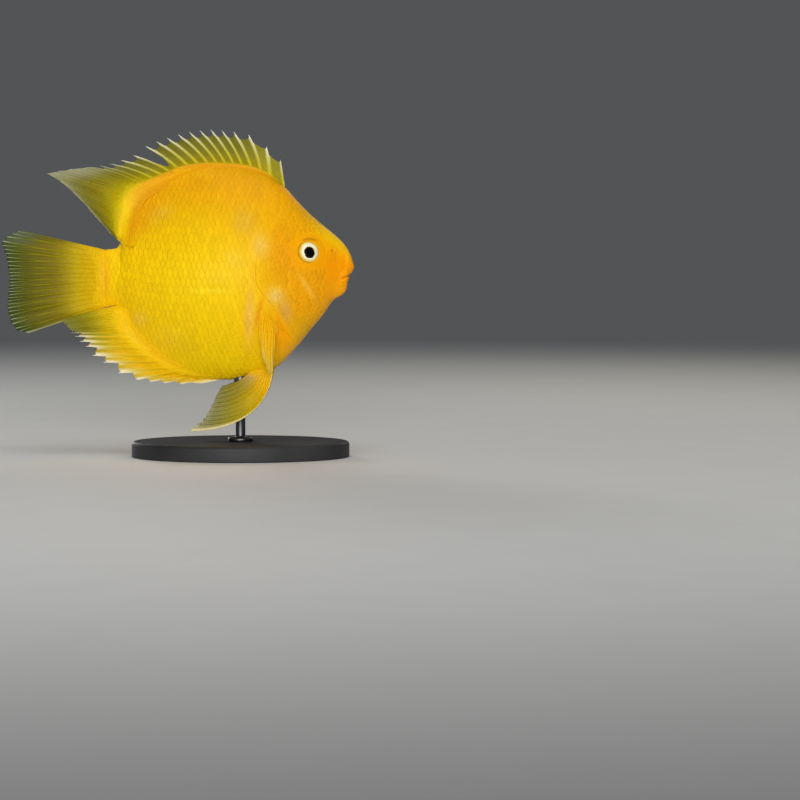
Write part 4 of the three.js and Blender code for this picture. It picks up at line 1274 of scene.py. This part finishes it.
def dorsalFin():
    d = dorsal
    along, roots = alongOutline(backZ, d["frontX"], d["rearX"]), through(d["roots"])
    tip = rayTips(d["tips"], lambda ray: d["sway"] * smooth(14, 21, ray))
    notch = lambda ray: np.floor(ray) == d["notchAfter"]
    isSoft = lambda ray: smooth(d["spines"] - 3, d["spines"] + 2, ray)

    def colours(ray, v):
        web = towards(blendStops(v, d["spinyWeb"]), blendStops(v, d["softWeb"]), isSoft(ray))
        line = towards(blendStops(v, d["rayLine"]), blendStops(v, d["softLine"]), isSoft(ray))
        pale = smooth(19, 21, ray) * smooth(0.8, 0.97, v)
        web = towards(web, d["frontWeb"], 0.5 * smooth(4.5, 2, ray))
        web = towards(web, d["greyTip"], 0.9 * bell(ray - 18.7, 3.0) * smooth(0.42, 0.8, v))
        return towards(web, d["paleEdge"], 0.35 * pale), towards(line, d["paleEdge"], 0.9 * pale)

    return {
        **finDefaults, **d, "base": lambda ray: sunkIn(along(roots(ray)), tip(ray), d["sunk"]), "tip": tip,
        "bow": lambda ray, v: (smooth(1, 4, ray) * smooth(27, 18, ray))[..., None] * np.array([1.0, 0, 1.2]),
        "root": lambda ray: 0.8 + 1.2 * isSoft(ray), "fleshy": lambda ray: 5.0 + 10.0 * isSoft(ray),
        "bodyColour": lambda ray: 1.8 + 2.6 * isSoft(ray), "scaled": lambda ray: -1.5 + 7.5 * isSoft(ray),
        "cutBehind": lambda ray: np.where(notch(ray), 0.3, 0.05),
        "cutAhead": lambda ray: np.where(notch(ray), 0.34, 0.15),
        "dip": lambda ray: np.where(notch(ray), 0.26, 0.04), "ridge": spineRidge(d), "colours": colours,
    }


anal = {
    "node": "anal_fin", "rays": 17, "spines": 12, "frontX": -3, "rearX": -62.3, "sunk": 8.0,
    "blend": 3.2, "rearThin": 0.9, "cutSoft": 0.03, "fringe": 0.015, "sway": -2.8,
    "scaleRows": [-3, -1.2, 0.6, 2.3, 3.9, 5.2], "chart": (0.1, 0.1),
    "spineTip": (0.17, 0.3), "fall": 1.8, "lineWidth": 1.3, "lineFlare": 1.5, "rayShow": 0.95, "film": 0.9,
    "edgeClear": 0.1,
    "roots": [  # share of the way along the belly
        (1, 0), (2, 0.13), (3, 0.225), (4, 0.3), (5, 0.37), (6, 0.44), (7, 0.512), (8, 0.59),
        (9, 0.667), (10, 0.72), (11, 0.763), (13, 0.855), (15, 0.94), (17, 1)],
    "tips": [
        (1, -21, 37.5), (2, -31, 37.2), (3, -39.8, 37.6), (4, -47.2, 38.3), (5, -54, 39.3), (6, -62.9, 43),
        (7, -70.5, 48.6), (8, -76.1, 52.1), (9, -79.6, 56.8), (10, -82.4, 59.4), (11, -84.6, 62),
        (13, -88.2, 65.4), (15, -90.8, 67.9), (17, -92.8, 69.9)],
    "frontWeb": [(0, (255, 204, 2)), (0.4, (250, 200, 4)), (0.7, (226, 190, 20)), (1, (180, 164, 50))],
    "rearWeb": [(0, (252, 204, 2)), (0.3, (226, 192, 4)), (0.55, (166, 152, 10)), (0.85, (124, 120, 24)),
                (1, (104, 108, 46))],
    "rayLine": [(0, (252, 204, 6)), (0.4, (240, 202, 24)), (0.62, (228, 206, 84)), (0.78, (244, 232, 180)),
                (1, (254, 250, 236))],
    "rearLine": [(0, (252, 204, 6)), (0.4, (212, 186, 10)), (0.7, (150, 140, 24)), (1, (150, 150, 84))],
    "strip": (252, 238, 188),
}


def analFin():
    d = anal
    along, roots = alongOutline(bellyZ, d["frontX"], d["rearX"]), through(d["roots"])
    tip = rayTips(d["tips"], lambda ray: d["sway"] * smooth(7, 16, ray))

    def bow(ray, v):
        rear = smooth(13, 17, ray)[..., None] * np.array([0, -0.6, 1.0])
        return rear - smooth(3, 1, ray)[..., None] * np.array([0, 0, 0.7])

    def colours(ray, v):
        web = towards(blendStops(v, d["frontWeb"]), blendStops(v, d["rearWeb"]), smooth(7, 12, ray))
        line = towards(blendStops(v, d["rayLine"]), blendStops(v, d["rearLine"]), smooth(11.4, 12.6, ray))
        strip = 0.9 * smooth(2.4, 1.3, ray) * smooth(0.05, 0.3, v)
        return towards(web, d["strip"], strip), towards(line, d["strip"], strip)

    return {
        **finDefaults, **d, "base": lambda ray: sunkIn(along(roots(ray)), tip(ray), d["sunk"]), "tip": tip,
        "bow": bow, "root": lambda ray: 1.0 + 1.0 * smooth(2, 7, ray),
        "fleshy": lambda ray: 6 + 9 * smooth(2, 8, ray), "bodyColour": lambda ray: 2 + 7 * smooth(2, 8, ray),
        "scaled": lambda ray: 0.4 + 5.4 * smooth(5, 11, ray), "cutBehind": same(0.06),
        "cutAhead": lambda ray: 0.25 - 0.07 * smooth(6, 10, ray), "ridge": spineRidge(d), "colours": colours,
    }


caudal = {
    "node": "caudal_fin", "rays": 16, "lines": 1, "branchApart": 0.05, "twigApart": 0.22,
    "cutSoft": 0.005, "fringe": 0.006, "sunk": 2.0, "rayShow": 0.75, "lineWidth": 0.8, "lineFlare": 0.85,
    "edgeClear": 0.1, "sway": 1.5,
    "scaleRows": [0.2, 2.1, 3.9, 5.6, 7.2, 8.7, 10.1], "chart": (0.6, 0.1),
    "tips": [
        (1, -113, 116.4), (2, -118.4, 114), (3, -122.6, 109.6), (4, -121, 105.6), (6, -119.3, 97.4),
        (8, -118.6, 90.4), (10, -119, 84), (12, -119.6, 77.4), (14, -118, 69.4), (15, -115, 65),
        (16, -109.4, 63.4)],
    "web": [(0, (244, 190, 2)), (0.12, (234, 188, 2)), (0.3, (206, 178, 2)), (0.52, (138, 122, 2)),
            (0.76, (102, 97, 2)), (0.87, (82, 90, 4)), (0.95, (58, 76, 14)), (1, (54, 74, 30))],
    "rayLine": [(0, (248, 194, 2)), (0.3, (210, 184, 10)), (0.6, (172, 156, 22)), (0.82, (132, 128, 30)),
                (0.92, (168, 176, 120)), (1, (216, 220, 190))],
    "corner": (98, 110, 96), "lowerEdge": (206, 206, 170),
}


def caudalFin():
    d = caudal
    top, bottom = backZ(body["stalkX"]) - 0.6, bellyZ(body["stalkX"]) + 0.6
    across = lambda ray: (ray - 1) / (d["rays"] - 1)
    turn = lambda ray: 0.98 * (2 * across(ray) - 1)

    def base(ray):
        z = top + (bottom - top) * across(ray)
        return np.stack([np.full_like(z, body["stalkX"] + d["sunk"]), np.zeros_like(z), z], -1)

    def colours(ray, v):
        corner = 0.75 * smooth(4.2, 1.8, ray) * smooth(0.6, 0.85, v)
        web = towards(blendStops(v, d["web"]), d["corner"], corner)
        low = 0.8 * smooth(15.7, 15.9, ray) * smooth(0.35, 0.6, v)
        return towards(web, d["lowerEdge"], low), blendStops(v, d["rayLine"])

    return {
        **finDefaults, **d, "base": base,
        "tip": rayTips(d["tips"], lambda ray: d["sway"] * np.cos((ray - 1) * 0.35)),
        "bow": lambda ray, v: np.zeros((*np.shape(ray), 3)),
        "root": lambda ray: 3.1 * np.sqrt(1 - turn(ray) ** 2), "fleshy": same(17), "bodyColour": same(2.6),
        "scaled": lambda ray: 5.5 + 5.5 * (2 * across(ray) - 1) ** 2, "ridge": same(0.2), "colours": colours,
    }


pelvic = {
    "rays": 6, "spines": 1, "rows": 80, "cutSoft": 0.01, "fringe": 0.006,
    "rootX": 17.2, "rootStep": 1.9, "sunk": 2.5, "rayShow": 0.45, "branchApart": 0.2,
    "edge": (254, 240, 180),
    "tips": [(1, -25.3, 14.0), (2, -20.6, 18.2), (3, -17.4, 22.6), (4, -14.9, 27.0), (5, -12.6, 31.4),
             (6, -10.2, 35.8)],
    "web": [(0, (252, 196, 2)), (0.3, (244, 196, 4)), (0.55, (214, 184, 6)), (0.8, (160, 148, 22)),
            (0.93, (140, 136, 74)), (1, (176, 174, 136))],
    "innerWeb": [(0, (236, 186, 50)), (0.2, (212, 176, 96)), (0.45, (176, 156, 60)), (0.8, (138, 128, 26)),
                 (1, (136, 132, 80))],
    "rayLine": [(0, (250, 202, 12)), (0.35, (228, 200, 34)), (0.75, (206, 192, 90)), (1, (226, 220, 180))],
}


def pelvicFin(word, side):
    d = pelvic
    rootX = lambda ray: d["rootX"] - d["rootStep"] * (ray - 1)

    def base(ray):
        z = bellyZ(rootX(ray)) + 2.4
        y = side * (bodyHalfY(rootX(ray), z) - 1.5)
        return np.stack([rootX(ray), y, z + 0.5], -1)

    def bow(ray, v):
        lean = (1 - 2 * v) * np.array([-1.5, 0, 2.5])
        return smooth(7.5, 0.5, ray)[..., None] * (np.array([12.5, side * 2.5, -6.0]) + lean)

    def colours(ray, v):
        web = towards(blendStops(v, d["web"]), blendStops(v, d["innerWeb"]), smooth(3, 5.5, ray))
        edge = 0.95 * smooth(1.5, 1.2, ray) * smooth(-0.1, 0.15, v)
        return towards(web, d["edge"], edge), towards(blendStops(v, d["rayLine"]), d["edge"], edge)

    return {
        **finDefaults, **d, "node": "pelvic_fin_" + word, "base": base, "bow": bow,
        "tip": rayTips(d["tips"], lambda ray: side * (13.5 - 0.9 * ray)),
        "root": same(0.7), "fleshy": same(8), "bodyColour": same(5),
        "ridge": lambda ray: np.where(ray < 1.5, 0.45, 0.16), "colours": colours,
    }


pectoral = {
    "rays": 13, "lines": 1, "cutSoft": 0.015, "fringe": 0.012, "sunk": 2.0, "film": 1.0,
    "edgeClear": 0.04, "bow": (-2, 1.4),  # backwards and away from the flank
    "rootLine": [(20.4, 71.0), (17.4, 75.4), (13.6, 80.6)],  # along the gill opening, front first
    "tips": [(1, 18, 57.0), (3, 17.7, 50.0), (5, 17.3, 45.6), (7, 16.4, 43.2), (9, 15.2, 45.0),
             (11, 13.6, 50.0), (13, 11.8, 58.0)],
    "out": [(1, 1.6), (4, 5.0), (7, 7.6), (10, 7.0), (13, 3.4)],  # of the tips from the flank
    "web": [(0, (252, 186, 2)), (0.3, (252, 192, 2)), (0.65, (248, 196, 10)), (1, (236, 200, 50))],
    "rayLine": [(0, (250, 194, 4)), (0.4, (254, 208, 30)), (0.8, (254, 224, 90)), (1, (250, 236, 170))],
    "edge": (255, 236, 150),
}


def pectoralFin(word, side):
    d = pectoral
    rootX, rootZ = np.array(d["rootLine"], float).T
    out, tips = through(d["out"]), rayTips(d["tips"])

    def base(ray):
        t = 2 * (ray - 1) / (d["rays"] - 1)
        x, z = np.interp(t, [0, 1, 2], rootX), np.interp(t, [0, 1, 2], rootZ)
        return np.stack([x, side * (bodyHalfY(x, z) - d["sunk"]), z], -1)

    def tip(ray):
        # clear of the flank at the tip's own height and 60 up, where the body is thicker
        end = tips(ray)
        wall = np.maximum(bodyHalfY(end[..., 0], end[..., 2]), bodyHalfY(end[..., 0], end[..., 2] * 0 + 60))
        end[..., 1] = side * (wall + out(ray))
        return end

    def colours(ray, v):
        edge = 0.85 * smooth(2.0, 1.3, ray) * smooth(0.1, 0.4, v)
        return [towards(blendStops(v, d[layer]), d["edge"], edge) for layer in ("web", "rayLine")]

    back, aside = d["bow"]
    return {
        **finDefaults, **d, "node": "pectoral_fin_" + word, "base": base, "tip": tip,
        "bow": lambda ray, v: np.stack([back * smooth(5, 13, ray), side * (aside + 0 * ray), 0 * ray], -1),
        "root": same(0.5), "fleshy": same(6), "bodyColour": same(3), "ridge": same(0.2), "colours": colours,
    }


# Eyes

lid = {
    "profile": [  # distance from the eye's middle and height
        (4.9, -1.5), (5.25, -0.35), (5.5, 0.12), (5.95, 0.28), (6.6, 0.24), (7.6, 0.12), (8.5, 0.04),
        (9.3, -0.06)],
    # shade: painted shade where the lid runs down into the eye's socket
    "brow": 0.22, "thick": 0.8, "shade": (190, 128, 18), "around": 120,
}


def eyeFrame(side):
    # the eye's middle, the way it looks, and its forward and upward directions
    x, z = np.float64(eye["x"]), np.float64(eye["z"])
    out = flankNormal(x, z, side)
    forward = unit(np.array([1.0, 0, 0]) - out[0] * out)
    upward = np.cross(out, forward)
    upward = upward * np.sign(upward[2])
    middle = np.array([x, side * bodyHalfY(x, z), z]) - eye["sunk"] * out
    return middle, out, forward, upward


def makeEye(word, side, material, lidMaterial):
    # a lens-shaped ball: rings by their share of the radius, the height an ellipse of it
    middle, out, forward, upward = eyeFrame(side)
    shares = np.concatenate([[0.02, 0.1, 0.2, 0.3, 0.4], np.linspace(0.46, 0.99, 26)])
    t, r = np.meshgrid(wholeTurn(eye["around"]), shares, indexing="ij")
    height = eye["halfDepth"] * np.sqrt(1 - r ** 2)
    slip = smooth(0.8, 0.25, r)
    flat = (forward * (np.cos(t) * r * eye["radius"] + eye["pupilAhead"] * slip)[..., None]
            + upward * (np.sin(t) * r * eye["radius"] + eye["pupilUp"] * slip)[..., None])
    front = middle + out * eye["halfDepth"] + forward * eye["pupilAhead"] + upward * eye["pupilUp"]
    grid = middle + flat + out * height[..., None]
    points, faces = capped(grid, front, middle - out * eye["backDepth"])
    ball = newPiece("eyeball_" + word, points, turnedOut(points, faces, out), material)
    iris = np.column_stack([(t / (2 * math.pi)).ravel(), r.ravel()])
    flatMap(ball, "iris", np.vstack([iris, [(0, 0), (0, 1)]]))
    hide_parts("eye_" + word)
    makeLid(word, side, lidMaterial)


def makeLid(word, side, material):
    # a soft ring round the eye: it climbs out of the socket, crests and runs out into the skin
    middle, out, forward, upward = eyeFrame(side)
    inner, outer = lid["profile"][0][0], lid["profile"][-1][0]
    away = np.concatenate([np.linspace(inner, 6.4, 14), np.linspace(6.6, outer, 12)])
    t, r = np.meshgrid(wholeTurn(lid["around"]), away, indexing="ij")
    flat = middle + forward * (np.cos(t) * r)[..., None] + upward * (np.sin(t) * r)[..., None]
    x, z = flat[..., 0], flat[..., 2]
    brow = lid["brow"] * smooth(0.1, 1.0, np.sin(t)) * bell(r - 6.2, 0.9)
    lift = through(lid["profile"])(r) + brow + lidSwell(r)
    points = np.stack([x, side * bodyHalfY(x, z), z], -1) + flankNormal(x, z, side) * lift[..., None]
    points = np.vstack([points.reshape(-1, 3), points.reshape(-1, 3) - out * lid["thick"]])
    faces = turnedOut(points, shellFaces(*r.shape, closed=True).tolist(), out)
    ring = newPiece("lid_" + word, points, faces, material)
    # painted shade on the lid's inner slope, where it runs down into the socket
    dark = 0.6 * smooth(5.7, 5.25, np.tile(r.ravel(), 2))
    paint(ring, "hide", towards(hideAndPaintedLight(points[:, 0], points[:, 2]), lid["shade"], dark))


# Stand

stand = {
    "length": 112, "width": 76, "height": 8, "edge": 1.8, "rodRadius": 2.5, "rodTop": 44.5,
    "collarRadius": 6.5, "collarHeight": 3.0, "cupRadius": 3.4, "baseAround": 192, "rodAround": 64,
}


def turned(name, profile, around, material, stretch=(1, 1)):
    # a profile of (radius, z) turned round the Z axis, closed on the axis at both ends
    radius, z = np.array(profile, float).T
    t, r = np.meshgrid(wholeTurn(around), radius, indexing="ij")
    height = np.broadcast_to(z, t.shape)
    grid = np.stack([np.cos(t) * r * stretch[0], np.sin(t) * r * stretch[1], height], -1)
    points, faces = capped(grid, (0, 0, z[0]), (0, 0, z[-1]))
    return newPiece(name, points, faces, material)


def makeStand():
    d = stand
    half, e, h = d["length"] / 2, d["edge"], d["height"]
    arc = np.linspace(0, math.pi / 2, 8)
    low = [(half - e * 0.4 + e * 0.4 * math.sin(a), e * 0.4 * (1 - math.cos(a))) for a in arc]
    high = [(half - e + e * math.cos(a), h - e + e * math.sin(a)) for a in arc]
    profile = [(half * 0.5, 0)] + low + high + [(half - e - 0.6, h), (half * 0.6, h), (8, h)]
    oval = (1, d["width"] / d["length"])
    base = turned("stand_base_plate", profile, d["baseAround"], baseMaterial(), oval)
    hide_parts("stand_base")
    foot, c, r = h, d["collarRadius"], d["rodRadius"]
    top = foot + d["collarHeight"]
    collar = [(c - 0.3, foot), (c, foot + 0.3), (c, foot + 1.2)]
    collar += [(c - 0.9 + 0.9 * math.cos(a), foot + 1.2 + 0.9 * math.sin(a)) for a in arc[1:]]
    collar += [(r + 1.0 - math.sin(a), top + 0.1 - math.cos(a)) for a in arc]
    end, cupR = d["rodTop"], d["cupRadius"]
    cup = [(r, end - 8.5), (r + 0.25, end - 8.2), (cupR - 0.2, end - 6.2), (cupR, end - 5.6), (cupR, end)]
    profile = [(c * 0.5, foot)] + collar + cup
    rod = turned("stand_rod_steel", profile, d["rodAround"], rodMaterial())
    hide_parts("stand_rod")


makeCamera()
makeStage()
print("camera, lights and floor")

skinPaint = skinMaterial("hideSkin", False)
scalePaint = skinMaterial("hideScales", True)
webPaint = finMaterial()
eyePaint = eyeMaterial()

makeSkin(skinPaint)
for word, side in sides.items():
    makeEye(word, side, eyePaint, skinPaint)
print("eyes and lids")
flankX, flankArc, flankSize = flankRoots()
faceX, faceArc, faceShown = faceRoots()
for word, side in sides.items():
    bodyScales("flank_scales_" + word, side, flankX, flankArc, flankSize,
               scales["proud"] * (0.7 + 0.3 * flankSize), onSkin, scalePaint)
    bodyScales("face_scales_" + word, side, faceX, faceArc, 0.45 + 0.12 * faceShown,
               0.07 + 0.05 * faceShown, onFace, scalePaint)
uprightFins = {  # with the rays between which scales climb their feet
    "dorsal": (dorsalFin(), 11, 28), "anal": (analFin(), 2, 17), "caudal": (caudalFin(), 1.3, 15.7)}
for name, (fin, fromRay, toRay) in uprightFins.items():
    makeFin(name + "_web", fin, webPaint)
for name, (fin, fromRay, toRay) in uprightFins.items():
    finScales(name + "_scales_", fin, fromRay, toRay, scalePaint)
for word, side in sides.items():
    makeFin("pelvic_web_" + word, pelvicFin(word, side), webPaint)
    makeFin("pectoral_web_" + word, pectoralFin(word, side), webPaint)
makeStand()
print("stand")
